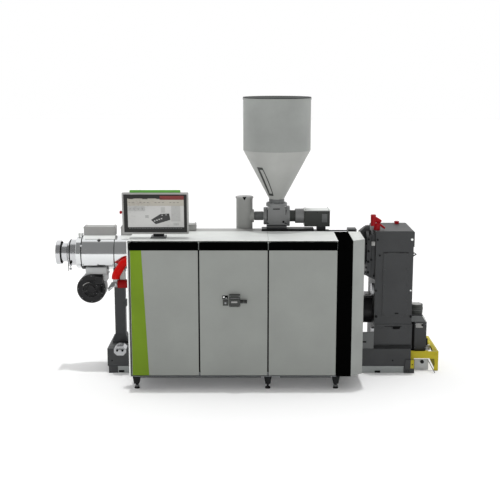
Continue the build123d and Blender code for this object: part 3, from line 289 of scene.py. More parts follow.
class Paint(Enum):
    """The finishes of the machine; a CAD node takes the one that bears its slot's name."""

    DOOR_GREY = Finish("door_powder_coat", linear(143, 146, 142), 0.45, mottle=0.035, shine=0.35)
    # Lighter than the door grey, which the cabinet most likely wears all over: the light on the roof is painted in. The
    # bevel's and drive box's tops wear it for the same reason; the nose fittings wear it as their own light grey.
    ROOF_GREY = Finish("roof_grey_painted_lit", linear(214, 217, 214), 0.5)
    # Glowing white: painted highlights on the roof edge, the terminal box aprons and the cooler edge, and a painted
    # glow on every piece that wears it.
    LIP = Finish("white_painted_glow", linear(238, 240, 238), 0.4, wear=0.0, glow=0.12)
    BEVEL = Finish("bevel_powder_coat", linear(148, 151, 148), 0.45, shine=0.35)
    GLOSS_BLACK = Finish("deep_black", linear(4, 4, 4), 0.35, Texture.POLISHED, wear=0.0, relief=0.00005, shine=0.0)
    LEAF_GREEN = Finish("leaf_green", linear(110, 139, 24), 0.4, wear=0.0, shine=0.2)
    FRAME_GREY = Finish("frame_dark_grey", linear(66, 67, 68), 0.5, Texture.CAST, wear=0.35,
                        worn=linear(120, 122, 124), shine=0.2)
    DECK = Finish("deck_mid_grey", linear(98, 100, 100), 0.5, Texture.CAST, wear=0.3, shine=0.3)
    CASTING = Finish("gearbox_cast_grey", linear(65, 66, 67), 0.5, Texture.CAST, relief=0.0008, wear=0.3,
                     worn=linear(118, 120, 122), shine=0.2)
    FOOT_BLACK = Finish("foot_black", linear(26, 27, 28), 0.6, Texture.MOULDED, wear=0.15, shine=0.2)
    ZINC_INSIDE = Finish("zinc_inside", linear(150, 153, 156), 0.4, Texture.BRUSHED, metallic=0.8, wear=0.0)
    SKID_GREY = Finish("skid_light_grey", linear(150, 154, 153), 0.55, wear=0.3)
    STAINLESS = Finish("brushed_stainless", linear(217, 219, 220), 0.13, Texture.BRUSHED, metallic=1.0, mottle=0.02,
                       relief=0.00003, wear=0.0)
    TURNED_STEEL = Finish("turned_steel", linear(200, 201, 203), 0.22, Texture.TURNED, metallic=1.0, relief=0.0001,
                          wear=0.0)
    BOX_GREY = Finish("terminal_box_grey", linear(154, 154, 152), 0.45)
    FAN_BLACK = Finish("fan_black", linear(26, 26, 27), 0.35, coat=0.05, shine=0.2)
    PIPE_RED = Finish("pipe_red", linear(190, 6, 4), 0.45, Texture.MOULDED, wear=0.1, worn=linear(120, 20, 16),
                      shine=0.15)
    CAST_SILVER = Finish("cast_silver", linear(186, 187, 189), 0.4, Texture.CAST, metallic=0.85, wear=0.0)
    HOPPER_GREY = Finish("hopper_grey", linear(148, 151, 148), 0.5, wear=0.3, worn=linear(176, 176, 172))
    DUCT = Finish("duct_sheet", linear(178, 180, 180), 0.38, Texture.BRUSHED, metallic=0.3, wear=0.0)
    # Darker red for the lower pipe's sleeve: the shade on that pipe, painted in.
    DARK_RED = Finish("pipe_red_painted_shade", linear(128, 4, 6), 0.5, Texture.MOULDED, wear=0.1, shine=0.15)
    # The hopper grey made lighter for the cone, whose faces turn down from the light: painted light. The sight window's
    # pane wears it too.
    CONE = Finish("hopper_grey_painted_lit_cone", linear(166, 167, 164), 0.5, wear=0.2, worn=linear(176, 176, 172))
    DOWN_PIPE = Finish("down_pipe_grey", linear(149, 150, 147), 0.45, wear=0.2)
    MOTOR_GREY = Finish("motor_grey", linear(64, 66, 64), 0.45, Texture.CAST, wear=0.3, shine=0.25)
    FEEDER = Finish("feeder_steel", linear(134, 135, 135), 0.42, Texture.CAST, metallic=0.2, wear=0.2)
    NECK = Finish("neck_dull_grey", linear(100, 102, 102), 0.45, Texture.BRUSHED, wear=0.2)
    PANEL_GREY = Finish("panel_bezel_silver", linear(158, 158, 156), 0.4, Texture.MOULDED, wear=0.1)
    SCREEN_GLASS = Finish("screen_glass", linear(38, 38, 37), 0.18, Texture.POLISHED, wear=0.0, relief=0.00002,
                          shine=0.2)
    PAGE = picture("screen_page", linear(184, 184, 182), 0.05)
    PAGE_DIM = picture("screen_page_dim", linear(166, 166, 164), 0.05)
    TOOLBAR = picture("screen_toolbar", linear(166, 162, 152), 0.05)
    MARK = picture("screen_dark_mark", linear(40, 40, 40))
    ALERT = picture("screen_red_bar", linear(112, 30, 28))
    SIGNAL_GREEN = Finish("signal_green", linear(84, 148, 56), 0.3, Texture.POLISHED, wear=0.0, glow=0.1, shine=0.2)
    STOP_RED = Finish("stop_red", linear(152, 9, 20), 0.4, Texture.MOULDED, wear=0.0, shine=0.2)
    GUARD_YELLOW = Finish("guard_yellow", linear(186, 172, 44), 0.5, wear=0.25, worn=linear(120, 110, 60), shine=0.2)
    # Guard yellow darkened: painted shade on the guard's leg.
    YELLOW_SHADE = Finish("guard_yellow_painted_shade", linear(112, 106, 44), 0.6, wear=0.2, shine=0.1)
    # Guard yellow brightened and glowing: painted light on the top edge of the guard's right rail.
    YELLOW_EDGE = Finish("guard_yellow_painted_lit_glow", linear(236, 220, 86), 0.5, wear=0.1, glow=0.2, shine=0.2)
    BOLT = Finish("bolt_steel", linear(150, 152, 154), 0.34, Texture.CAST, metallic=0.9, wear=0.0)
    DARK_BOLT = Finish("black_oxide_bolt", linear(22, 23, 24), 0.45, Texture.CAST, metallic=0.1, wear=0.0, shine=0.1)
    # Near black for real gaps, slots and rubber, and painted shade on the outlet flanges, in the grip recess and in the
    # gap beside the oil cooler.
    GAP = Finish("dark_gap_and_painted_shade", linear(18, 18, 18), 0.8, Texture.MOULDED, wear=0.0, shine=0.05)

    def material(self) -> bpy.types.Material:
        """The material of this finish."""
        return self.value.material()


NODE_PAINT: dict[str, Paint] = {
    "gearbox": Paint.CASTING, "gearbox_adapter": Paint.CASTING, "end_bevel": Paint.BEVEL,
    "feeder_body": Paint.FEEDER, "down_pipe": Paint.DOWN_PIPE, "base_crossbars": Paint.DECK,
    "swivel_foot": Paint.NECK, "hopper_cone": Paint.CONE, "frame_feet": Paint.FRAME_GREY,
    "fan_duct": Paint.DUCT,
}


class Shape:
    """A mesh built up from turned, boxed, swept and plated forms, all in the frame's metres."""

    def __init__(self) -> None:
        self.mesh = bmesh.new()

    def box(self, low: Sequence[float], high: Sequence[float], bevel: float = 0.001) -> "Shape":
        """Add a block with bevelled edges between two corners."""
        middle = [(a + b) / 2 for a, b in zip(low, high)]
        size = [b - a for a, b in zip(low, high)]
        made = bmesh.ops.create_cube(self.mesh, size=1.0,
                                     matrix=Matrix.Translation(middle) @ Matrix.Diagonal((*size, 1.0)))
        return self._bevel(made["verts"], min(bevel, min(size) * 0.45))

    def _bevel(self, verts: Sequence[bmesh.types.BMVert], width: float) -> "Shape":
        """Bevel every edge between new corners."""
        if width > 0:
            edges = {e for v in verts for e in v.link_edges}
            bmesh.ops.bevel(self.mesh, geom=list(edges), offset=width, segments=2, affect="EDGES", profile=0.5)
        return self

    def band(self, low: Sequence[bmesh.types.BMVert], high: Sequence[bmesh.types.BMVert]) -> "Shape":
        """Join two equal rows of corners with faces."""
        for i in range(len(low) - 1):
            self.mesh.faces.new((low[i], low[i + 1], high[i + 1], high[i]))
        return self

    def lathe(self, origin: Sequence[float], axis: Sequence[float],
              outline: Iterable[tuple[float, float]], sides: int = 32) -> "Shape":
        """Turn an outline round an axis.

        Args:
            origin: Where the axis starts.
            axis: Its direction.
            outline: (radius, distance along the axis) points. A radius of 0 closes the form.
            sides: Number of flats round the axis; 6 makes a hexagon.

        Returns:
            The shape itself.
        """
        turn = Vector(axis).normalized().to_track_quat("Z", "Y").to_matrix()
        start = Vector(origin)
        rings = [[self.mesh.verts.new(start + turn @ Vector(place))
                  for place in circle((0, 0, along), UP, radius, sides if radius else 1)]
                 for radius, along in outline]
        for below, above in zip(rings, rings[1:]):
            for i in range(sides):
                corners = [below[i % len(below)], below[(i + 1) % len(below)],
                           above[(i + 1) % len(above)], above[i % len(above)]]
                unique = list(dict.fromkeys(corners))
                if len(unique) > 2:
                    self.mesh.faces.new(unique)
        return self

    def bar(self, start: Sequence[float], end: Sequence[float], radius: float, sides: int = 20,
            edge: float = 0.0008) -> "Shape":
        """Add a round bar with broken ends."""
        axis = Vector(end) - Vector(start)
        length = axis.length
        edge = min(edge, radius * 0.4, length * 0.4)
        return self.lathe(start, axis, [(0, 0), (radius - edge, 0), (radius, edge), (radius, length - edge),
                                        (radius - edge, length), (0, length)], sides)

    def ring(self, origin: Sequence[float], axis: Sequence[float], outer: float, inner: float,
             height: float, sides: int = 40) -> "Shape":
        """Add a flat ring with broken edges."""
        edge = min(height, outer - inner) * 0.25
        outline = [(inner, 0), (outer - edge, 0), (outer, edge), (outer, height - edge),
                   (outer - edge, height), (inner, height), (inner, 0)]
        return self.lathe(origin, axis, outline, sides)

    def bolt(self, place: Sequence[float], axis: Sequence[float], size: float, washer: bool = True) -> "Shape":
        """Add a hexagon head on its washer; size is the radius across the corners."""
        seat = size * 0.25 if washer else 0.0
        if washer:
            self.lathe(place, axis, [(size * 1.35, 0), (size * 1.35, seat), (0, seat)], 16)
        head = size * 0.9
        return self.lathe(place, axis, [(size, seat), (size, seat + head * 0.8), (size * 0.8, seat + head),
                                        (0, seat + head)], 6)

    def cap_screw(self, place: Sequence[float], axis: Sequence[float], size: float) -> "Shape":
        """Add a round socket head with its hollow."""
        return self.lathe(place, axis, [(size, 0), (size, size * 0.8), (size * 0.85, size), (size * 0.5, size),
                                        (size * 0.5, size * 0.45), (0, size * 0.45)], 14)

    def bolts(self, places: Iterable[Point], axis: Point, size: float, washer: bool = True) -> "Shape":
        """Add a hexagon head at each place."""
        for place in places:
            self.bolt(place, axis, size, washer)
        return self

    def screws(self, places: Iterable[Point], axis: Point, size: float) -> "Shape":
        """Add a round socket head at each place."""
        for place in places:
            self.cap_screw(place, axis, size)
        return self

    def tube(self, path: Sequence[Point], radius: float, sides: int = 10) -> "Shape":
        """Sweep a round tube along smooth points and close its ends."""
        points = [Vector(p) for p in path]
        rings = []
        side = Vector((0, 0, 1))
        for i, place in enumerate(points):
            ahead = points[min(i + 1, len(points) - 1)] - points[max(i - 1, 0)]
            ahead.normalize()
            if abs(ahead.dot(side)) > 0.95:
                side = Vector((0, 1, 0))
            side = (side - ahead * ahead.dot(side)).normalized()
            across = ahead.cross(side)
            rings.append([self.mesh.verts.new(place + side * x + across * y)
                          for x, y, _ in circle((0, 0, 0), UP, radius, sides)])
        for a, b in zip(rings, rings[1:]):
            self.band(a + a[:1], b + b[:1])
        self.mesh.faces.new(rings[0][::-1])
        self.mesh.faces.new(rings[-1])
        return self

    def plate(self, outline: Sequence[Point], thickness: Sequence[float], bevel: float = 0.0006) -> "Shape":
        """Add a flat plate from its outline and the vector of its thickness."""
        low = [self.mesh.verts.new(Vector(p)) for p in outline]
        high = [self.mesh.verts.new(Vector(p) + Vector(thickness)) for p in outline]
        self.mesh.faces.new(low[::-1])
        self.mesh.faces.new(high)
        self.band(low + low[:1], high + high[:1])
        return self._bevel(low + high, bevel)

    def sheet(self, front: float, outline: Sequence[tuple[float, float]], thickness: float,
              bevel: float = 0.0006) -> "Shape":
        """Add a plate that faces the operator, from its front, its outline in X and Z and its thickness."""
        return self.plate([(x, front, z) for x, z in outline], (0, thickness, 0), bevel)

    def build(self, name: str, paint: Paint) -> bpy.types.Object:
        """Turn the shape into an object with its finish and smooth round sides."""
        bmesh.ops.recalc_face_normals(self.mesh, faces=self.mesh.faces)
        data = bpy.data.meshes.new(name)
        self.mesh.to_mesh(data)
        self.mesh.free()
        data.shade_smooth()
        data.set_sharp_from_angle(angle=radians(SHARP_ANGLE))
        data.materials.append(paint.material())
        made = bpy.data.objects.new(name, data)
        bpy.context.scene.collection.objects.link(made)
        return made


@dataclass
class Assembly:
    """A group of pieces that ride on one body.

    Args:
        body: The CAD body that the pieces move with.
        made: Name, finish and shape of each piece.
    """

    body: str = "machine"
    made: list[tuple[str, Paint, Shape]] = field(default_factory=list, init=False)

    def piece(self, name: str, paint: Paint) -> Shape:
        """Start a piece and hand over its empty shape."""
        self.made.append((name, paint, Shape()))
        return self.made[-1][-1]

    def dress(self) -> None:
        """Shape the pieces of the group."""

    def build(self) -> None:
        """Build the pieces, let each ride on the body and log it."""
        self.dress()
        for name, paint, shape in self.made:
            piece = shape.build(name, paint)
            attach(piece, self.body)
            log.info("%s: %d faces on %s", name, len(piece.data.polygons), self.body)


@dataclass
class Cabinet(Assembly):
    """Gaskets, roof trim and small fasteners of the control cabinet.

    Args:
        front: The doors' outer face.
        rear: The rear wall's outer face.
        left: Left edge of the roof.
        right: Right edge of the doors.
        gaps: Middles of the door gaps.
        gasket: Front and back of the gaskets behind the gaps.
        gasket_width: Width of a gasket.
        low: Bottom of the door gaps.
        head: Bottom of the doors' black head strips.
        high: Top of the gaskets.
        lip: Bottom and top of the glowing white strip that paints the highlight on the roof's front edge, clear of the
            doors.
        roof: Top of the roof sheets.
        feet: X of the foot studs.
        foot_rows: Y of the foot studs.
        foot_nut: Radius across the corners of the lock nuts.
    """

    front: float = -0.495
    rear: float = -0.032
    left: float = -0.986
    right: float = 0.753
    gaps: tuple[float, ...] = (-0.401, 0.176)
    gasket: tuple[float, float] = (-0.4685, -0.4652)
    gasket_width: float = 0.03
    low: float = 0.146
    head: float = 1.2
    high: float = 1.25
    lip: tuple[float, float] = (1.2796, 1.2836)
    roof: float = 1.28
    feet: tuple[float, ...] = (-0.938, 0.753)
    foot_rows: tuple[float, ...] = (-0.447, -0.08)
    foot_nut: float = 0.02

    def gaskets(self) -> None:
        """Dark rubber behind the door gaps, bright behind their head strips, and the dark line below."""
        front, back = self.gasket
        half = self.gasket_width / 2
        dark = self.piece("door_gaskets", Paint.GAP)
        bright = self.piece("gap_bright_strips", Paint.SKID_GREY)
        line = self.piece("floor_front_lip", Paint.GAP)
        for gap in self.gaps:
            dark.box((gap - half, front, self.low), (gap + half, back, self.high), 0.0008)
        strips = [(gap - 0.003, gap + 0.003) for gap in self.gaps]
        for start, end in (*strips, (self.right - 0.009, self.right - 0.0005)):
            bright.box((start, front - 0.0008, self.head + 0.001), (end, front, self.high), 0.0002)
        for start, end in ((-0.965, 0.1178), (0.2789, 0.711)):
            line.box((start, -0.4765, 0.101), (end, -0.4745, 0.1158), 0.0004)

    def roof_trim(self) -> None:
        """The glowing white strip along the front that paints the roof edge's highlight, the black edge, the edge trim,
        and the roof's sheets, the bevel's top one in the lighter roof grey that paints the light on that top.
        """
        low, high = self.lip
        left, face, back = self.left, self.front - 0.0004, self.front + 0.0004
        band = low - 0.0042
        # Painted highlight: a glowing white strip for the bright front edge of the roof.
        self.piece("roof_front_painted_highlight", Paint.LIP).box((left, face - 0.0012, low), (self.right, back, high), 0.0005)
        piece = self.piece("roof_black_edge", Paint.GLOSS_BLACK)
        piece.box((left, face - 0.0006, band), (self.right, back, low), 0.0003)
        piece.box((left, face - 0.0006, self.head), (left + 0.0052, back, band), 0.0003)
        self.piece("side_edge_trim", Paint.LIP).box(
            (left - 0.0095, face, 0.116), (left, self.front + 0.01, 1.2795), 0.0012)
        self.piece("side_edge_seal", Paint.NECK).box(
            (left, face, 0.127), (left + 0.0085, self.front + 0.0008, 1.198), 0.0003)
        self.piece("roof_rear_rail", Paint.MOTOR_GREY).box(
            (0.6794, -0.016, self.roof + 0.0003), (0.8729, -0.011, self.roof + 0.012), 0.001)
        # Painted light: the bevel's top gets a sheet of the lighter roof grey so that it shows lit.
        corners = ((0.8767, self.front + 0.0008), (0.98, -0.4102), (0.98, self.rear), (0.8767, self.rear))
        self.piece("bevel_top_painted_lit_sheet", Paint.ROOF_GREY).plate(
            [(*corner, self.roof + 0.0001) for corner in corners], (0, 0, 0.0008), 0.0002)
        seam = self.gaps[1]
        self.piece("roof_seam", Paint.FRAME_GREY).box(
            (seam - 0.0008, self.front + 0.002, self.roof - 0.0004),
            (seam + 0.0008, self.rear + 0.016, self.roof + 0.0003), 0.0001)

    def fasteners(self) -> None:
        """Screws round the rear wall and lock nuts on the levelling feet."""
        self.piece("rear_wall_screws", Paint.BOLT).screws(
            product([-0.958 + 0.281 * i for i in range(7)], (self.rear,), (0.17, 0.7, 1.23)), REAR, 0.0055)
        nuts = self.piece("foot_lock_nuts", Paint.BOLT)
        for x, y in product(self.feet, self.foot_rows):
            nuts.lathe((x, y, 0.018), UP, [(0.009, 0), (self.foot_nut, 0), (self.foot_nut, 0.008),
                                           (self.foot_nut * 0.85, 0.011), (0.009, 0.011)], 6)

    def dress(self) -> None:
        """Build the cabinet's small pieces."""
        self.gaskets()
        self.roof_trim()
        self.fasteners()


@dataclass
class DoorTrim(Assembly):
    """Black ends of a door's head strip and the rubber along its edges.

    Args:
        left: Left edge of the door.
        width: Width of the door.
        front: Outer face of the door.
        back: Inner face of the door.
        low: Bottom of the rubber.
        head: Bottom of the black head strip.
        high: Top of the door.
        end: Width of a black end.
        rubber: Thickness of the rubber.
    """

    left: float = -0.972
    width: float = 0.565
    front: float = -0.495
    back: float = -0.475
    low: float = 0.128
    head: float = 1.2
    high: float = 1.27
    end: float = 0.0051
    rubber: float = 0.0005

    def dress(self) -> None:
        """Build the two ends and the two edges."""
        right = self.left + self.width
        ends = self.piece(f"{self.body}_strip_ends", Paint.GLOSS_BLACK)
        edges = self.piece(f"{self.body}_edge_rubber", Paint.GAP)
        for x in (self.left, right - self.end):
            ends.box((x, self.front - 0.0006, self.head), (x + self.end, self.front + 0.0003, self.high), 0.0002)
        for x in (self.left - self.rubber, right):
            edges.box((x, self.front + 0.0008, self.low),
                      (x + self.rubber, self.back - 0.0008, self.high - 0.002), 0.0001)


@dataclass
class IsolatorSwitch(Assembly):
    """Details of the main switch on the middle door.

    Args:
        bar: Front of the switch's cross bar.
        door: The door's outer face.
        key: Front of the key plate on the door.
        lock: Front of the lock block.
        grip: Middle of the grip's left end.
        grip_radius: Radius of the grip.
    """

    body: str = "middle_door"
    bar: float = -0.543
    door: float = -0.495
    key: float = -0.4975
    lock: float = -0.521
    grip: Point = (-0.0515, -0.513, 0.77)
    grip_radius: float = 0.014

    def dress(self) -> None:
        """Build the pointer, the stripe, the key mark, the grip rings and the screws."""
        self.piece("switch_pointer", Paint.PANEL_GREY).box(
            (-0.131, self.bar - 0.002, 0.7665), (-0.081, self.bar, 0.7805), 0.0008)
        self.piece("switch_stripe", Paint.NECK).box(
            (-0.137, self.bar - 0.0012, 0.8035), (-0.063, self.bar, 0.808), 0.0004)
        self.piece("switch_key_plate", Paint.GLOSS_BLACK).box(
            (-0.206, self.key, 0.789), (-0.16, self.door, 0.819), 0.0008)
        piece = self.piece("switch_key_marks", Paint.LIP)
        piece.box((-0.2005, self.key - 0.001, 0.7985), (-0.1865, self.key, 0.8125), 0.0003)
        piece.box((-0.1805, self.key - 0.001, 0.7945), (-0.1665, self.key, 0.7995), 0.0003)
        rings = self.piece("switch_grip_rings", Paint.GLOSS_BLACK)
        x, y, z = self.grip
        for along in (0, 0.011, 0.033, 0.044):
            rings.ring((x + along, y, z), RIGHT, self.grip_radius + 0.0012, self.grip_radius - 0.001, 0.0035, 28)
        piece = self.piece("switch_screws", Paint.BOLT)
        piece.screws(product((-0.1425, -0.0645), (-0.531,), (0.7375, 0.8225)), FRONT, 0.0035)
        piece.lathe((-0.1795, self.lock, 0.76), FRONT, [(0, 0.002), (0.0075, 0.002), (0.009, 0.0005), (0.009, 0)], 20)


@dataclass
class OperatorPanel(Assembly):
    """The picture on the screen, laid out on the tilted face.

    Args:
        origin: Middle of the panel's bottom edge, on its front.
        tilt: Angle that the face leans back, in degrees.
        layer: Thickness of one layer of the picture.
    """

    body: str = "operator_panel"
    origin: Point = (-0.7645, -0.348, 1.314)
    tilt: float = 4.0
    layer: float = 0.0004

    def at(self, across: float, up: float, lift: float = 0.0) -> Point:
        """The place of a point on the face, lifted off it."""
        lean = radians(self.tilt)
        x, y, z = self.origin
        return (x + across, y - up * sin(lean) - lift * cos(lean), z + up * cos(lean) - lift * sin(lean))

    def patch(self, shape: Shape, corners: Sequence[tuple[float, float]], level: int) -> None:
        """Add a flat patch of the picture at a layer."""
        lift = 0.0002 + self.layer * level
        rise = Vector(self.at(0, 0, self.layer)) - Vector(self.origin)
        shape.plate([self.at(*corner, lift) for corner in corners], rise, 0)

    def patches(self, name: str, paint: Paint, level: int, areas: Sequence[Sequence[float]]) -> None:
        """Add rectangles of the picture, each as left, bottom, right and top."""
        shape = self.piece(name, paint)
        for left, bottom, right, top in areas:
            self.patch(shape, [(left, bottom), (right, bottom), (right, top), (left, top)], level)

    def dress(self) -> None:
        """Build a plain control page: tool bar, side column, lists and a drawing of a machine."""
        self.patches("screen_page", Paint.PAGE, 0, [(-0.2303, 0.0583, 0.2379, 0.2402)])
        self.patches("screen_side_column", Paint.PAGE_DIM, 1, [(0.132, 0.108, 0.208, 0.2402)])
        self.patches("screen_toolbar", Paint.TOOLBAR, 0, [(-0.2303, 0.2402, 0.2379, 0.3029)])
        self.patches("screen_alert", Paint.ALERT, 1, [(0.0392, 0.2917, 0.2379, 0.3029)])
        self.patches("screen_value_box", Paint.PAGE_DIM, 1, [(-0.2295, 0.1948, -0.0851, 0.2351),
                                                             (0.0459, 0.1819, 0.081, 0.2291)])
        faint = [(-0.222 + 0.031 * i, 0.266, -0.206 + 0.031 * i, 0.27) for i in range(15) if i % 4 != 2]
        faint += [(0.15, 0.078 + 0.012 * i, 0.196, 0.0805 + 0.012 * i) for i in range(2)]
        faint += [(-0.085, 0.156 - 0.008 * i, -0.056, 0.159 - 0.008 * i) for i in range(3)]
        self.patches("screen_faint_marks", Paint.NECK, 1, faint)
        marks = [(-0.216 + 0.034 * i, 0.2125, -0.202 + 0.034 * i, 0.2165) for i in range(4)]
        marks += [(-0.225 + 0.118 * i, 0.2985, -0.18 + 0.118 * i, 0.3029) for i in range(3)]
        self.patches("screen_marks", Paint.MARK, 1, marks)
        self.patch(self.piece("screen_drawing", Paint.MARK), [
            (-0.0376, 0.121), (0.0017, 0.0838), (0.1244, 0.121), (0.1152, 0.175), (0.0417, 0.1707)], 1)
        self.patches("screen_drawing_dots", Paint.PAGE, 2,
                     [(-0.012 + 0.019 * i, 0.107 + 0.0065 * i, -0.001 + 0.019 * i, 0.117 + 0.0065 * i)
                      for i in range(4)] + [(0.052, 0.157, 0.06, 0.165), (0.085, 0.16, 0.093, 0.168)])
        self.patches("screen_icons", Paint.NECK, 0,
                     [(-0.2212 + 0.0215 * i, 0.0455, -0.2102 + 0.0215 * i, 0.053) for i in range(21)])
        self.patches("screen_header_red", Paint.ALERT, 0, [(0.0392, 0.3035, 0.2379, 0.3252)])


@dataclass
class Barrel(Assembly):
    """Fasteners and seams of the covered barrel, and the small box on the duct beside it.

    Args:
        axis: Y and Z of the barrel's axis.
        cover: Radius of the covers.
        nose: Radius of the nose cover.
        seams: Left ends of the gaps between the covers.
        seam_width: Width of such a gap.
        stud_x: X of the diamond stud.
        stud_angle: Its angle above the horizontal on the front side, in degrees.
        screw_angle: The same angle of the cover screws.
        boxes: Left ends of the terminal boxes.
        box_length: Their length.
        box_lid: Their top.
    """

    axis: tuple[float, float] = (0.217, 1.05)
    cover: float = 0.155
    nose: float = 0.141
    seams: tuple[float, ...] = (-1.181, -0.675)
    seam_width: float = 0.004
    stud_x: float = -1.3167
    stud_angle: float = 53.0
    screw_angle: float = -34.0
    boxes: tuple[float, ...] = (-1.455, -1.125, -0.737)
    box_length: float = 0.281
    box_lid: float = 1.29

    def on_cover(self, x: float, angle: float, radius: float) -> tuple[Point, Point]:
        """A place at a radius from the axis and the way out from it."""
        y, z = self.axis
        out = (0.0, -cos(radians(angle)), sin(radians(angle)))
        return (x, y + out[1] * radius, z + out[2] * radius), out

    def covers(self) -> None:
        """Seams, the diamond stud, the screws, the fittings on the nose and the latch."""
        seams = self.piece("cover_seams", Paint.GAP)
        seams.ring((-1.4765, *self.axis), RIGHT, self.cover - 0.002, self.nose + 0.0005, 0.0073, 64)
        for left in self.seams:
            seams.ring((left + 0.0002, *self.axis), RIGHT, self.cover - 0.003, self.cover - 0.02,
                       self.seam_width - 0.0004, 64)
        self.piece("cover_stud", Paint.FAN_BLACK).lathe(
            *self.on_cover(self.stud_x, self.stud_angle, self.cover - 0.001),
            [(0, 0), (0.0165, 0), (0.0165, 0.004), (0.0145, 0.006), (0, 0.006)], 4)
        spots = [(self.stud_x, self.stud_angle, self.cover + 0.005)]
        spots += [(x, self.screw_angle, self.cover - 0.0005)
                  for left, right in ((-1.458, -1.192), (-1.166, -0.686), (-0.66, 0.118))
                  for x in (left, (left + right) / 2, right)]
        screws = self.piece("cover_screws", Paint.BOLT)
        for spot in spots:
            place, out = self.on_cover(*spot)
            screws.screws([place], out, 0.0045)
        fittings = self.piece("nose_fittings", Paint.ROOF_GREY)
        for x, height in ((-1.5035, 0.034), (-1.479, 0.033)):
            fittings.lathe(*self.on_cover(x, 90.0, self.nose),
                           [(0.0075, 0), (0.0075, 0.01), (0.0105, 0.011), (0.0105, height - 0.001),
                            (0.009, height), (0, height)], 16)
        self.piece("cover_latch", Paint.TURNED_STEEL).box((-1.481, 0.0845, 1.127), (-1.461, 0.1, 1.141), 0.002)

    def lids(self) -> None:
        """Corner screws of the terminal boxes, and the sloped glowing aprons under them that paint the covers' white
        highlight over the shade below the boxes.
        """
        screws = self.piece("terminal_box_screws", Paint.BOLT)
        # Painted highlight: glowing white aprons cover the shade between each box and the cover.
        highlight_aprons = self.piece("terminal_box_painted_highlight_aprons", Paint.LIP)
        for left in self.boxes:
            right = left + self.box_length
            screws.screws(product((left + 0.012, right - 0.012), (0.174, 0.26), (self.box_lid,)), UP, 0.0045)
            highlight_aprons.plate([(left, 0.1585, 1.214), (right, 0.1585, 1.214), (right, 0.137, 1.1842),
                          (left, 0.137, 1.1842)], (0, 0.0025, -0.001), 0.0004)

    def outlet(self) -> None:
        """Dark rings that paint the shade on the shadowed sides of the outlet's flanges, its clamp bolt, and the nut on
        the clamp's closing rod.
        """
        # Painted shade: dark rings on the shadowed backs of the outlet flange and the clamp; the bar is the clamp bolt.
        shade_rings_and_bolt = self.piece("outlet_shade_rings_and_bolt", Paint.GAP)
        for left, outer, inner, length in ((-1.6657, 0.0985, 0.0845, 0.0045), (-1.5865, 0.117, 0.101, 0.0115)):
            shade_rings_and_bolt.ring((left, *self.axis), RIGHT, outer, inner, length, 56)
        shade_rings_and_bolt.bar((-1.593, 0.112, 0.9), (-1.593, 0.112, 1.0000), 0.0028, 10)
        shade_rings_and_bolt.box((-1.574, 0.114, 0.966), (-1.561, 0.129, 0.999), 0.002)
        self.piece("clamp_nut", Paint.BOLT).lathe(
            (-1.5935, self.axis[0], 0.893), UP, [(0.0055, 0), (0.0115, 0), (0.0115, 0.009), (0.0095, 0.011),
            (0.0055, 0.011)], 6)

    def duct_box(self) -> None:
        """The small box on the cable duct, half behind the operator panel."""
        lid = 1.335
        piece = self.piece("duct_box", Paint.BOX_GREY)
        piece.box((-0.7, 0.01, 1.2802), (-0.449, 0.115, lid - 0.009), 0.003)
        piece.box((-0.703, 0.0075, lid - 0.009), (-0.4475, 0.118, lid), 0.0025)
        self.piece("duct_box_screws", Paint.BOLT).screws(product((-0.69, -0.456), (0.02, 0.105), (lid,)), UP, 0.0045)

    def dress(self) -> None:
        """Build the barrel's small pieces."""
        self.duct_box()
        self.covers()
        self.lids()
        self.outlet()


@dataclass
class Fan(Assembly):
    """Inlet grille, a light arc of painted highlight, fasteners and cable fitting of the cooling fan.

    Args:
        centre: Middle of the inlet on the fan's front lip.
        rings: Radii of the grille's rings.
        spokes: Inner and outer end of its spokes, from the middle.
        screw_circle: Radius of the screw circle on the scroll.
    """

    centre: Point = (-1.3925, 0.1, 0.739)
    rings: tuple[float, ...] = (0.048, 0.062, 0.076)
    spokes: tuple[float, float] = (0.03, 0.079)
    screw_circle: float = 0.118

    def dress(self) -> None:
        """Build the grille, the light arc that paints the highlight on the inlet's edge, the screws of the scroll and
        the cable fitting.
        """
        x, y, z = self.centre
        grille = self.piece("fan_grille", Paint.FAN_BLACK)
        for radius in self.rings:
            grille.ring((x, y + 0.001, z), FRONT, radius + 0.0016, radius - 0.0016, 0.003, 40)
        for ends in zip(*(circle((x, y - 0.0005, z), FRONT, radius, 8, 0.5) for radius in self.spokes)):
            grille.bar(*ends, 0.0016, 8)
        for left in (x + 0.04 + 0.012 * i for i in range(4)):
            grille.box((left, y - 0.0045, z - 0.06), (left + 0.005, y + 0.0005, z - 0.012), 0.0008)
        # Painted highlight: a light arc along the inlet's edge, standing for a lit edge.
        self.piece("fan_painted_highlight_arc", Paint.PANEL_GREY).tube(
            [(-1.4666, 0.0985, 0.77), (-1.45, 0.096, 0.784), (-1.43, 0.095, 0.795), (-1.4086, 0.0955, 0.799)], 0.0032)
        self.piece("fan_side_slot", Paint.GAP).box((-1.3103, 0.093, 0.711), (-1.2942, 0.099, 0.8), 0.0015)
        piece = self.piece("fan_screws", Paint.BOLT)
        piece.screws(circle((x, y + 0.005, z), FRONT, self.screw_circle, 8), FRONT, 0.004)
        piece.screws(product((x + 0.05, x + 0.097), (0.079,), (z - 0.036, z + 0.036)), FRONT, 0.0032)
        self.piece("fan_fitting", Paint.CAST_SILVER).lathe(
            (-1.281, 0.15, 0.826), UP, [(0, 0), (0.013, 0), (0.013, 0.01), (0.009, 0.012), (0.009, 0.022),
            (0.006, 0.024), (0, 0.024)], 12)


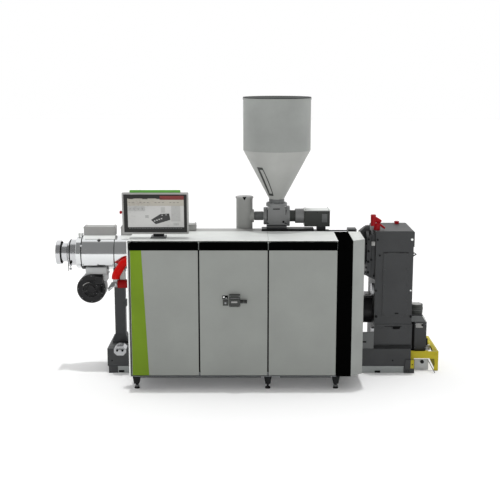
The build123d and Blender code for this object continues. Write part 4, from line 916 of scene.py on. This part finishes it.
@dataclass
class Piping(Assembly):
    """Bands of the red pipes, a darker red sleeve that paints the shade on the lower pipe, the valve's bracket, and the
    bolts of the column pads.

    Args:
        axis: Y and Z of the lower pipe.
        radius: Its radius with the insulation.
        columns: Left sides of the columns.
        column: Width of a column.
        pad: Top of the column pads.
    """

    axis: tuple[float, float] = (0.01, 0.807)
    radius: float = 0.037
    columns: tuple[float, ...] = (-1.1985, -0.06)
    column: float = 0.095
    pad: float = 0.246

    def dress(self) -> None:
        """Build the bands, the dark red sleeve of painted shade, the valve's bracket, the pad bolts and the plugs."""
        bands = self.piece("pipe_bands", Paint.CAST_SILVER)
        for x in (-1.016, -0.932):
            bands.ring((x, *self.axis), RIGHT, self.radius + 0.0012, self.radius - 0.002, 0.008, 40)
        # Painted shade: a thin darker red sleeve over the lower pipe.
        self.piece("lower_pipe_painted_shade_sleeve", Paint.DARK_RED).lathe(
            (-1.1425, *self.axis), RIGHT, [(0.0368, 0), (0.0384, 0.0015), (0.0384, 0.1515), (0.0368, 0.153)], 40)
        self.piece("valve_bracket", Paint.NECK).sheet(
            -0.039, [(-1.164, 0.826), (-1.19, 0.831), (-1.226, 0.776), (-1.221, 0.759), (-1.195, 0.788),
            (-1.164, 0.795)], 0.008, 0.0015)
        ends = [x for left in self.columns for x in (left - 0.012, left + self.column + 0.012)]
        self.piece("column_pad_bolts", Paint.BOLT).bolts(product(ends, (0.157, 0.277), (self.pad,)), UP, 0.009)
        plugs = self.piece("drain_plugs", Paint.DARK_BOLT)
        for x in (-1.15, -1.102):
            plugs.lathe((x, -0.1, 0.226), FRONT, [(0, 0.001), (0.01, 0.001), (0.011, 0)], 6)


@dataclass
class Feeder(Assembly):
    """Fasteners and plates of the feeder and its drive.

    Args:
        face: The front of the feeder body inside its frame, and of the drive box.
        axis: Y and Z of the screw's axis.
        box: Left and right side of the drive box.
        lid: Top of the drive box.
        pipe_x: X of the down pipe's axis.
        chute: Left and right end of the flexible sleeve.
    """

    face: float = 0.142
    axis: tuple[float, float] = (0.217, 1.382)
    box: tuple[float, float] = (0.5065, 0.7325)
    lid: float = 1.442
    pipe_x: float = -0.025
    chute: tuple[float, float] = (0.0625, 0.1425)

    def body_fittings(self) -> None:
        """Slots, plates, knob and screws of the feeder body."""
        face, y = self.face, self.axis[0]
        piece = self.piece("feeder_slot_and_seam", Paint.GAP)
        piece.box((0.227, face - 0.0035, 1.449), (0.289, face + 0.001, 1.4575), 0.0008)
        piece.box((0.173, 0.1395, 1.322), (0.35, 0.1425, 1.329), 0.0006)
        plates = self.piece("feeder_base_plates", Paint.FRAME_GREY)
        sides = self.piece("feeder_side_slots", Paint.DARK_BOLT)
        for low, high in ((1.2735, 1.2905), (1.2965, 1.3125)):
            plates.box((0.1715, 0.1385, low), (0.3515, 0.1425, high), 0.001)
        for x, low in ((0.1735, 1.35), (0.3395, 1.403)):
            sides.box((x, 0.1362, low), (x + 0.0075, 0.138, 1.4485), 0.0006)
        self.piece("feeder_knob", Paint.DARK_BOLT).lathe(
            (0.3203, face + 0.001, 1.34), FRONT, [(0, 0), (0.005, 0), (0.005, 0.006), (0.01, 0.008), (0.01, 0.015),
            (0.008, 0.017), (0, 0.017)], 20)
        piece = self.piece("feeder_screws", Paint.BOLT)
        piece.screws(product((0.201, 0.322), (face,), (1.346, 1.444)), FRONT, 0.004)
        piece.bolts(circle((0.2615, y, 1.5), UP, 0.082, 8, 0.5), UP, 0.0062, False)

    def drive_fittings(self) -> None:
        """Sleeve, a light lid plate that paints the lit top of the drive box, plate and screws of the feeder's drive.
        """
        face, lid = self.face, self.lid + 0.0015
        left, right = self.box
        self.piece("drive_sleeve", Paint.FEEDER).lathe(
            (0.429, *self.axis), RIGHT, [(0.0632, 0), (0.065, 0.0015), (0.065, 0.0735), (0.0632, 0.075)], 48)
        # Painted light: a light grey plate on the lid for the drive box's lit top.
        self.piece("drive_lid_painted_lit_plate", Paint.ROOF_GREY).box(
            (left - 0.0035, face - 0.0035, self.lid - 0.006), (right + 0.0035, face + 0.1535, lid))
        self.piece("drive_plain_plate", Paint.NECK).box((0.662, face - 0.002, 1.334), (0.709, face, 1.409), 0.0006)
        piece = self.piece("drive_screws", Paint.DARK_BOLT)
        piece.screws(product((left + 0.01, (left + right) / 2, right - 0.01), (face,), (1.309, 1.424)), FRONT, 0.0035)
        piece.screws(product((left + 0.0115, right - 0.0115), (0.153, 0.281), (lid,)), UP, 0.0035)

    def pipe_fittings(self) -> None:
        """Lid, latch and flexible sleeve of the down pipe."""
        self.piece("down_pipe_lid", Paint.BOX_GREY).lathe(
            (self.pipe_x, self.axis[0], 1.5425), UP, [(0.0765, 0), (0.079, 0.001), (0.079, 0.0125), (0.0765, 0.0145),
            (0.03, 0.0165), (0, 0.0165)], 56)
        self.piece("down_pipe_latch", Paint.GLOSS_BLACK).sheet(
            0.1362, [(-0.0415, 1.5605), (-0.0075, 1.5605), (-0.0245, 1.53)], 0.005, 0.0005)
        left, right = self.chute
        steps = 16
        ridges = [(0.0385 + 0.0018 * (i % 2), (right - left) * (i + 0.5) / steps) for i in range(steps)]
        self.piece("chute_sleeve", Paint.DECK).lathe(
            (left, *self.axis), RIGHT, [(0.0352, 0), *ridges, (0.0352, right - left)], 40)

    def dress(self) -> None:
        """Build the feeder's small pieces."""
        self.pipe_fittings()
        self.body_fittings()
        self.drive_fittings()


@dataclass
class Hopper(Assembly):
    """The sight window on the cone, the drum's rim and the collar under the cone.

    Args:
        axis: X and Y of the hopper's axis.
        cone: Bottom and top of the cone.
        neck: Radius at the bottom.
        drum: Radius at the top.
        across: Number of faces across the window.
        steps: Number of steps up the window.
    """

    axis: tuple[float, float] = (0.2615, 0.217)
    cone: tuple[float, float] = (1.536, 1.97)
    neck: float = 0.066
    drum: float = 0.297
    across: int = 4
    steps: int = 12

    def on_cone(self, height: float, turn: float, lift: float) -> Point:
        """A place on the cone.

        Args:
            height: Z of the place.
            turn: Angle round the axis from the front, in degrees; positive goes to the left.
            lift: How far it stands off the cone.

        Returns:
            The place in the frame.
        """
        (x, y), (low, high) = self.axis, self.cone
        radius = self.neck + (self.drum - self.neck) * (height - low) / (high - low) + lift
        return (x - radius * sin(radians(turn)), y - radius * cos(radians(turn)), height)

    def strip(self, shape: Shape, rows: Sequence[tuple[float, float, float]], lift: float) -> None:
        """Add a strip up the cone with its rim, from rows of height, left angle and right angle."""
        rims = []
        for off in (lift, -0.001):
            sheet = [[shape.mesh.verts.new(self.on_cone(height, left + (right - left) * i / self.across, off))
                      for i in range(self.across + 1)] for height, left, right in rows]
            for low, high in zip(sheet, sheet[1:]):
                shape.band(low, high)
            rims.append(sheet[0] + [row[-1] for row in sheet[1:]] + sheet[-1][-2::-1]
                        + [row[0] for row in sheet[-2::-1]])
        shape.band(*rims)

    def dress(self) -> None:
        """Build the window's frame and pane, the drum's rim and the collar."""
        rows = [(1.57 + 0.2606 * share, 51.4 + 0.7 * share, 19.9 + 15.8 * share)
                for share in (i / self.steps for i in range(self.steps + 1))]
        pane = [(height, left - 0.42 * (left - right), right + 0.13 * (left - right))
                for height, left, right in rows[1:-1]]
        self.strip(self.piece("sight_window_frame", Paint.MOTOR_GREY), rows, 0.0022)
        self.strip(self.piece("sight_window_pane", Paint.CONE), pane, 0.0034)
        drum = self.drum
        self.piece("hopper_rim", Paint.FRAME_GREY).lathe(
            (*self.axis, 2.4235), UP, [(drum + 0.0002, 0), (drum + 0.0022, 0.0008), (drum + 0.0022, 0.0082),
            (drum - 0.004, 0.0086), (drum - 0.004, 0.007)], 96)
        self.piece("hopper_collar", Paint.NECK).lathe(
            (*self.axis, 1.5005), UP, [(0.0662, 0), (0.069, 0.001), (0.069, 0.034), (0.0662, 0.0352)], 56)


@dataclass
class Gearbox(Assembly):
    """Bolts, plugs and plates of the gearbox and its adapter.

    Args:
        front: The housing's front beside the raised panel.
        raised: The raised panel's front.
        shaft: Y and Z of the output shaft.
        joint: The joint flange's bottom.
        guard: Front of the adapter's guard.
    """

    front: float = -0.025
    raised: float = -0.032
    shaft: tuple[float, float] = (0.217, 1.05)
    joint: float = 0.425
    guard: float = 0.0055

    def housing(self) -> None:
        """Plugs, holes and bolts on the housing, a black strip of painted shadow under it, and a dark sheet of painted
        shade in the grip recess.
        """
        front, raised = self.front, self.raised
        plugs = self.piece("gearbox_plugs", Paint.DARK_BOLT)
        plugs.box((1.303, raised - 0.0015, 0.5405), (1.336, raised + 0.0005, 0.5525), 0.0006)
        for x, z, size in ((1.1391, 1.2062, 0.0085), (1.1608, 1.0677, 0.0085), (1.1334, 0.7504, 0.0085),
                           (1.1407, 0.5173, 0.012), (1.4458, 0.5173, 0.011)):
            plugs.bolt((x, front, z), FRONT, size, False)
        light = self.piece("gearbox_edge_plugs", Paint.LIP)
        for x, z, size in ((1.4393, 1.2084, 0.0105), (1.44, 0.753, 0.0075)):
            light.lathe((x, front, z), FRONT, [(size, 0), (size, 0.002), (size * 0.8, 0.003), (0, 0.003)], 20)
        # Painted shadow: a black strip where the housing's shadow falls above the base beam.
        self.piece("gearbox_painted_shadow_strip", Paint.FOOT_BLACK).box(
            (1.1245, raised - 0.0018, 0.2245), (1.457, raised + 0.0002, 0.2575), 0.0006)
        # Painted shade: a dark sheet and line for the shaded grip recess.
        piece = self.piece("gearbox_grip_recess_painted_shade", Paint.GAP)
        piece.sheet(
            raised - 0.0015, [(1.2875, 0.4265), (1.3584, 0.4265), (1.3495, 0.4043), (1.296, 0.4043)], 0.009, 0.0005)
        piece.box((1.2166, raised - 0.0015, 0.4262), (1.3673, raised + 0.0075, 0.429), 0.0004)
        self.piece("gearbox_panel_seam", Paint.FOOT_BLACK).box(
            (1.1925, raised - 0.0008, 1.0885), (1.4135, raised + 0.0002, 1.0945), 0.0003)
        under = [(1.143 + 0.0375 * i, front - 0.0025, self.joint) for i in range(9) if i not in (4, 5)]
        piece = self.piece("gearbox_bolts", Paint.FRAME_GREY)
        piece.bolts(under, DOWN, 0.0065, False)
        piece.bolts(product((1.4615,), (0.03, 0.12, 0.21, 0.3, 0.39), (0.454,)), RIGHT, 0.0065, False)
        piece.screws(product((1.206, 1.4), (raised,), (0.536, 0.672, 0.807, 0.943, 1.078)), FRONT, 0.0045)

    def adapter(self) -> None:
        """Bolt circle and guard of the adapter, the apron under it, sensor box, and a light strip that paints the
        highlight along the coupling's top edge.
        """
        guard = self.guard
        self.piece("adapter_bolts", Paint.DARK_BOLT).bolts(
            circle((1.055, *self.shaft), LEFT, 0.192, 16, 0.5), LEFT, 0.0085)
        self.piece("adapter_guard", Paint.CASTING).sheet(
            guard, [(1.051, 0.8775), (1.1235, 0.8445), (1.1235, 1.256), (1.051, 1.225)], 0.0025, 0.0008)
        spots = ((1.064, 1.205), (1.064, 1.1), (1.064, 1.005), (1.09, 1.023), (1.064, 0.91),
                 (1.115, 0.88))
        piece = self.piece("adapter_guard_bolts", Paint.DARK_BOLT)
        piece.bolts([(x, guard, z) for x, z in spots], FRONT, 0.0105, False)
        piece.box((1.0885, guard - 0.0013, 0.87), (1.0915, guard + 0.0001, 1.235), 0.0004)
        self.piece("deck_apron", Paint.DECK).box((0.985, -0.0312, 0.2245), (1.1236, -0.029, 0.3785), 0.0008)
        self.piece("deck_apron_slot", Paint.GAP).box((1.019, -0.0322, 0.2795), (1.058, -0.031, 0.2925), 0.0004)
        piece = self.piece("adapter_sensor_box", Paint.BOX_GREY)
        piece.box((1.0845, -0.036, 1.1545), (1.116, -0.0255, 1.1895), 0.003)
        piece.box((1.088, -0.0255, 1.158), (1.113, guard + 0.0005, 1.186), 0.0015)
        # Painted highlight: a light strip along the coupling's top edge.
        self.piece("coupling_painted_highlight_strip", Paint.BOX_GREY).bar((1.043, 0.16, 0.668), (1.1235, 0.16, 0.668), 0.004, 12)
        piece = self.piece("filter_neck", Paint.STOP_RED)
        piece.lathe(
            (1.1014, 0.064, 1.3958), (0.0739, 0.0, -0.0453), [(0, 0), (0.014, 0), (0.017, 0.004), (0.017, 0.078),
            (0.013, 0.0865), (0, 0.0865)], 20)
        piece.lathe(
            (1.107, 0.064, 1.408), UP, [(0.0232, 0), (0.0245, 0.0015), (0.0245, 0.0045), (0.02, 0.0075), (0, 0.0085)],
            24)

    def dress(self) -> None:
        """Build the gearbox's small pieces."""
        self.housing()
        self.adapter()


@dataclass
class Motor(Assembly):
    """Foot bolts, terminal lid screws and end shield screws of the drive motor.

    Args:
        feet: Left sides of the feet.
        shaft: Y and Z of the shaft.
        plate: Top of the foot plates.
        lid: Top of the terminal box.
        shield: Face of the end shield.
    """

    feet: tuple[float, ...] = (0.355, 0.695)
    shaft: tuple[float, float] = (0.217, 0.53)
    plate: float = 0.246
    lid: float = 0.795
    shield: float = 0.845

    def dress(self) -> None:
        """Build the bolts and the screws."""
        y = self.shaft[0]
        self.piece("motor_foot_bolts", Paint.BOLT).bolts(
            product([left + 0.04 for left in self.feet], (y - 0.121, y + 0.121), (self.plate,)), UP, 0.011)
        piece = self.piece("motor_screws", Paint.BOLT)
        piece.screws(product((0.425, 0.595), (y - 0.065, y + 0.065), (self.lid,)), UP, 0.0045)
        piece.screws(circle((self.shield, *self.shaft), RIGHT, 0.178, 8, 0.5), RIGHT, 0.006)


@dataclass
class Lubrication(Assembly):
    """Plate, knob and fasteners of the oil cooler and pump.

    Args:
        front: The cooler's front.
        pump: Middle of the pump's top.
        pump_radius: Radius of the pump.
    """

    front: float = 0.115
    pump: Point = (1.536, 0.22, 0.574)
    pump_radius: float = 0.058

    def dress(self) -> None:
        """Build the cooler's plate, a lighter hood sheet and a glowing edge strip that paint the light on its top, a
        dark sheet of painted shade in the gap beside the gearbox, its foot and knob, and the pump's cap, band and
        screws.
        """
        front = self.front
        x, y, top = self.pump
        self.piece("cooler_plate", Paint.BOX_GREY).box((1.5194, front - 0.0022, 0.3775), (1.582, front, 0.4176), 0.0008)
        # Painted light: a lighter sheet on the hood, which shows lit from above.
        self.piece("cooler_hood_painted_lit_sheet", Paint.DECK).sheet(
            0.1128, [(1.472, 0.433), (1.608, 0.433), (1.574, 0.4865), (1.472, 0.4865)], 0.002, 0.0004)
        # Painted highlight: a glowing strip along the hood's sloped edge.
        self.piece("cooler_edge_painted_highlight", Paint.LIP).bar((1.5755, 0.1125, 0.488), (1.6125, 0.1125, 0.431), 0.0024, 10)
        # Painted shade: a dark sheet in the gap between gearbox and cooler; the second box is the cooler's dark foot.
        piece = self.piece("cooler_gap_painted_shade_and_foot", Paint.GAP)
        piece.box((1.4635, 0.1125, 0.148), (1.507, 0.1145, 0.433), 0.0006)
        piece.box((1.51, 0.119, 0.135), (1.612, 0.14, 0.166), 0.002)
        self.piece("cooler_knob", Paint.DARK_BOLT).lathe(
            (1.5775, front - 0.001, 0.4025), FRONT, [(0.004, 0), (0.004, 0.005), (0.01, 0.007), (0.01, 0.014),
            (0.008, 0.016), (0, 0.016)], 18)
        self.piece("pump_cap", Paint.BOX_GREY).lathe(
            (x, y, top - 0.0005), UP, [(0, 0), (0.046, 0), (0.046, 0.001), (0.042, 0.002), (0, 0.0022)], 40)
        self.piece("pump_band", Paint.NECK).ring(
            (x, y, 0.523), UP, self.pump_radius + 0.0042, self.pump_radius - 0.002, 0.004, 48)
        piece = self.piece("lubrication_screws", Paint.BOLT)
        piece.screws(circle(self.pump, UP, 0.0515, 6), UP, 0.003)
        piece.screws(product((x - 0.02, x + 0.074), (front,), (0.19, 0.408)), FRONT, 0.004)


@dataclass
class Guard(Assembly):
    """Bolts and sheets of the yellow guard, and the drain beside it.

    Args:
        front: Front of the rails.
        rail: Z of the rail bolts.
        plate: Front of the foot plate.
        splash: Front of the splash sheet.
    """

    front: float = 0.035
    rail: float = 0.146
    plate: float = -0.0465
    splash: float = 0.0595

    def dress(self) -> None:
        """Build the guard's small pieces and the drain's."""
        self.piece("guard_bolts", Paint.GUARD_YELLOW).bolts(
            product((1.478, 1.7), (self.front,), (self.rail,)), FRONT, 0.006, False)
        # Painted light: a bright glowing strip along the lit top of the right rail.
        self.piece("guard_rail_painted_lit_edge", Paint.YELLOW_EDGE).box(
            (1.6972, 0.045, 0.143), (1.6988, 0.54, 0.1778), 0.0004)
        # Painted shade: a darker yellow sheet on the guard's leg.
        self.piece("guard_leg_painted_shade", Paint.YELLOW_SHADE).sheet(
            0.0325, [(1.642, 0.109), (1.68, 0.109), (1.687, 0.06), (1.678, 0.033)], 0.0028, 0.0006)
        piece = self.piece("drain_fittings", Paint.CAST_SILVER)
        piece.box((1.653, 0.3, 0.108), (1.69, 0.328, 0.16), 0.004)
        piece.bolt((1.666, 0.3, 0.144), FRONT, 0.01)
        piece.bolt((1.679, 0.3, 0.123), FRONT, 0.0085)
        piece = self.piece("drain_stubs", Paint.FOOT_BLACK)
        piece.bar((1.659, 0.305, 0.158), (1.659, 0.305, 0.2234), 0.0075, 16)
        piece.bar((1.6985, 0.305, 0.148), (1.705, 0.305, 0.108), 0.007, 16)
        self.piece("guard_foot_plate", Paint.GUARD_YELLOW).box(
            (1.456, self.plate, 0.045), (1.486, self.plate + 0.0025, 0.1225), 0.0006)
        self.piece("guard_foot_plug", Paint.DARK_BOLT).lathe(
            (1.471, self.plate, 0.08), FRONT, [(0.0055, 0), (0.0055, 0.0008), (0, 0.0008)], 16)
        self.piece("splash_sheet", Paint.DUCT).box(
            (1.499, self.splash, 0.0), (1.633, self.splash + 0.0015, 0.102), 0.0004)
        self.piece("drain_cap", Paint.FOOT_BLACK).lathe(
            (1.575, self.splash, 0.077), FRONT, [(0.015, 0), (0.0165, 0.002), (0.0165, 0.012), (0.014, 0.0145),
            (0, 0.0155)], 24)
        self.piece("guard_stay", Paint.NECK).bar((1.622, 0.0335, 0.102), (1.675, -0.045, 0.004), 0.0035, 10)


@dataclass
class Base(Assembly):
    """Plugs of the base frame's front beam and bolts of its corner foot.

    Args:
        front: The front beam's face.
    """

    front: float = -0.032

    def dress(self) -> None:
        """Build the plugs and the bolts."""
        plugs = self.piece("beam_plugs", Paint.DARK_BOLT)
        for x in (-1.206, 1.297):
            plugs.lathe((x, self.front, 0.114), FRONT, [(0.0075, 0), (0.0075, 0.0008), (0, 0.0008)], 16)
        plugs.box((1.1385, -0.0365, 0.0005), (1.189, -0.0315, 0.0215), 0.002)
        plugs.box((-1.147, -0.035, 0.006), (-1.098, -0.0322, 0.026), 0.0012)
        self.piece("corner_foot_bolts", Paint.FOOT_BLACK).bolts(
            product((1.42, 1.442), (-0.044,), (0.022,)), FRONT, 0.006, False)


ASSEMBLIES: tuple[Assembly, ...] = (
    Cabinet(), DoorTrim("left_door", -0.972), DoorTrim("middle_door", -0.395), DoorTrim("right_door", 0.182),
    IsolatorSwitch(), OperatorPanel(), Barrel(), Fan(), Piping(), Feeder(), Hopper(), Gearbox(), Motor(),
    Lubrication(), Guard(), Base())


def paint_frame() -> None:
    """Give each CAD node its finish."""
    slots = {part["node"]: part["material_slot"] for part in frame["record"]["subparts"]}
    for name, node in frame["nodes"].items():
        paint = NODE_PAINT.get(name) or Paint[slots[name].upper()]
        if not node.data.materials:
            node.data.materials.append(None)
        for slot in node.material_slots:
            slot.material = paint.material()
        log.info("%s: %s", name, paint.value.name)


@dataclass
class Studio:
    """Floor, light and camera.

    Args:
        eye: Where the camera stands.
        pitch: How far it looks down, in degrees.
        lens: Focal length, in millimetres.
        sensor: Width of the sensor, in millimetres.
        rear_sky: Strength of the light from behind and above the machine.
        front_sky: Strength of the light from the operator's side.
        turn: The share of the view, fore and aft, in which one passes into the other.
        key: Strength, spread and turn about X, in degrees, of the lamp overhead, a little behind the machine.
        fill: The same of the level lamp from the operator's side; 90 degrees is level.
        reach: How far the floor goes to each side.
        lift: Light that the floor gives to the camera alone, so that it stays white.
    """

    eye: Point = (0.0245, -8.485, 2.71)
    pitch: float = 10.67
    lens: float = 70.92
    sensor: float = 36.0
    rear_sky: float = 1.2
    front_sky: float = 0.3
    turn: tuple[float, float] = (-0.16, 0.02)
    key: tuple[float, float, float] = (1.25, 2.0, -3.7)
    fill: tuple[float, float, float] = (0.95, 8.0, 88.5)
    reach: float = 40.0
    lift: float = 0.085

    def floor(self) -> None:
        """Make the white floor, which keeps the shadow."""
        far = self.reach
        floor = Shape().plate([(-far, -far, 0), (far, -far, 0), (far, far, 0), (-far, far, 0)],
                              (0, 0, -0.01), 0).build("studio_floor", Paint.DOOR_GREY)
        graph = Graph(bpy.data.materials.new("studio_floor"))
        where = graph.node("ShaderNodeTexCoord", output="Object")
        shade = graph.mix(graph.noise(where, 2.0), (0.96, 0.96, 0.96), (0.98, 0.98, 0.98))
        seen = graph.node("ShaderNodeLightPath", output="Is Camera Ray")
        matt = graph.node("ShaderNodeBsdfDiffuse", None, {"Color": shade, "Roughness": 0.4})
        glow = graph.node("ShaderNodeEmission", None, {"Color": (1, 1, 1, 1), "Strength": self.lift})
        lit = graph.node("ShaderNodeAddShader", None, {0: matt, 1: glow})
        floor.data.materials[0] = graph.output(graph.node("ShaderNodeMixShader", None,
                                                          {0: seen, 1: matt, 2: lit}))

    def light(self) -> None:
        """Light the scene with a bright rear sky, a dim front and two suns, all on white."""
        graph = Graph(bpy.data.worlds.new("studio"))
        toward = graph.node("ShaderNodeTexCoord", output="Generated")
        away = graph.node("ShaderNodeSeparateXYZ", None, {0: toward}, "Y")
        level = graph.spread(away, *self.turn, self.front_sky, self.rear_sky)
        path = [graph.node("ShaderNodeLightPath", output=name)
                for name in ("Is Camera Ray", "Is Transmission Ray")]
        seen = graph.maths("MAXIMUM", *path)
        lit = graph.node("ShaderNodeBackground", None, {"Color": (1, 1, 1, 1), "Strength": level})
        white = graph.node("ShaderNodeBackground", None, {"Color": (1, 1, 1, 1), "Strength": 1.0})
        bpy.context.scene.world = graph.output(
            graph.node("ShaderNodeMixShader", None, {0: seen, 1: lit, 2: white}), "World")
        self.sun("key_sun", *self.key)
        self.sun("fill_sun", *self.fill)

    def sun(self, name: str, strength: float, spread: float, turn: float) -> None:
        """Add a lamp that metal doesn't mirror.

        Args:
            name: The lamp's name.
            strength: Its strength.
            spread: Angle that it covers, in degrees.
            turn: Its turn about X, in degrees; 90 is level from the front.
        """
        lamp = bpy.data.lights.new(name, "SUN")
        lamp.energy = strength
        lamp.angle = radians(spread)
        sun = bpy.data.objects.new(name, lamp)
        sun.rotation_euler = (radians(turn), 0, 0)
        sun.visible_glossy = False
        bpy.context.scene.collection.objects.link(sun)

    def camera(self) -> None:
        """Stand the camera where the photo was taken from."""
        data = bpy.data.cameras.new("camera")
        data.lens = self.lens
        data.sensor_width = self.sensor
        camera = bpy.data.objects.new("camera", data)
        camera.location = self.eye
        camera.rotation_euler = (radians(90 - self.pitch), 0, 0)
        bpy.context.scene.collection.objects.link(camera)
        bpy.context.scene.camera = camera

    def set_up(self) -> None:
        """Floor, light, camera and the plain view transform."""
        self.floor()
        self.light()
        self.camera()
        bpy.context.scene.view_settings.view_transform = "Standard"


def main() -> None:
    """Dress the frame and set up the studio."""
    logging.basicConfig(level=logging.INFO, format="%(message)s")
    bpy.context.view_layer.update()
    paint_frame()
    for assembly in ASSEMBLIES:
        assembly.build()
    Studio().set_up()


if __name__ == "__main__":
    main()
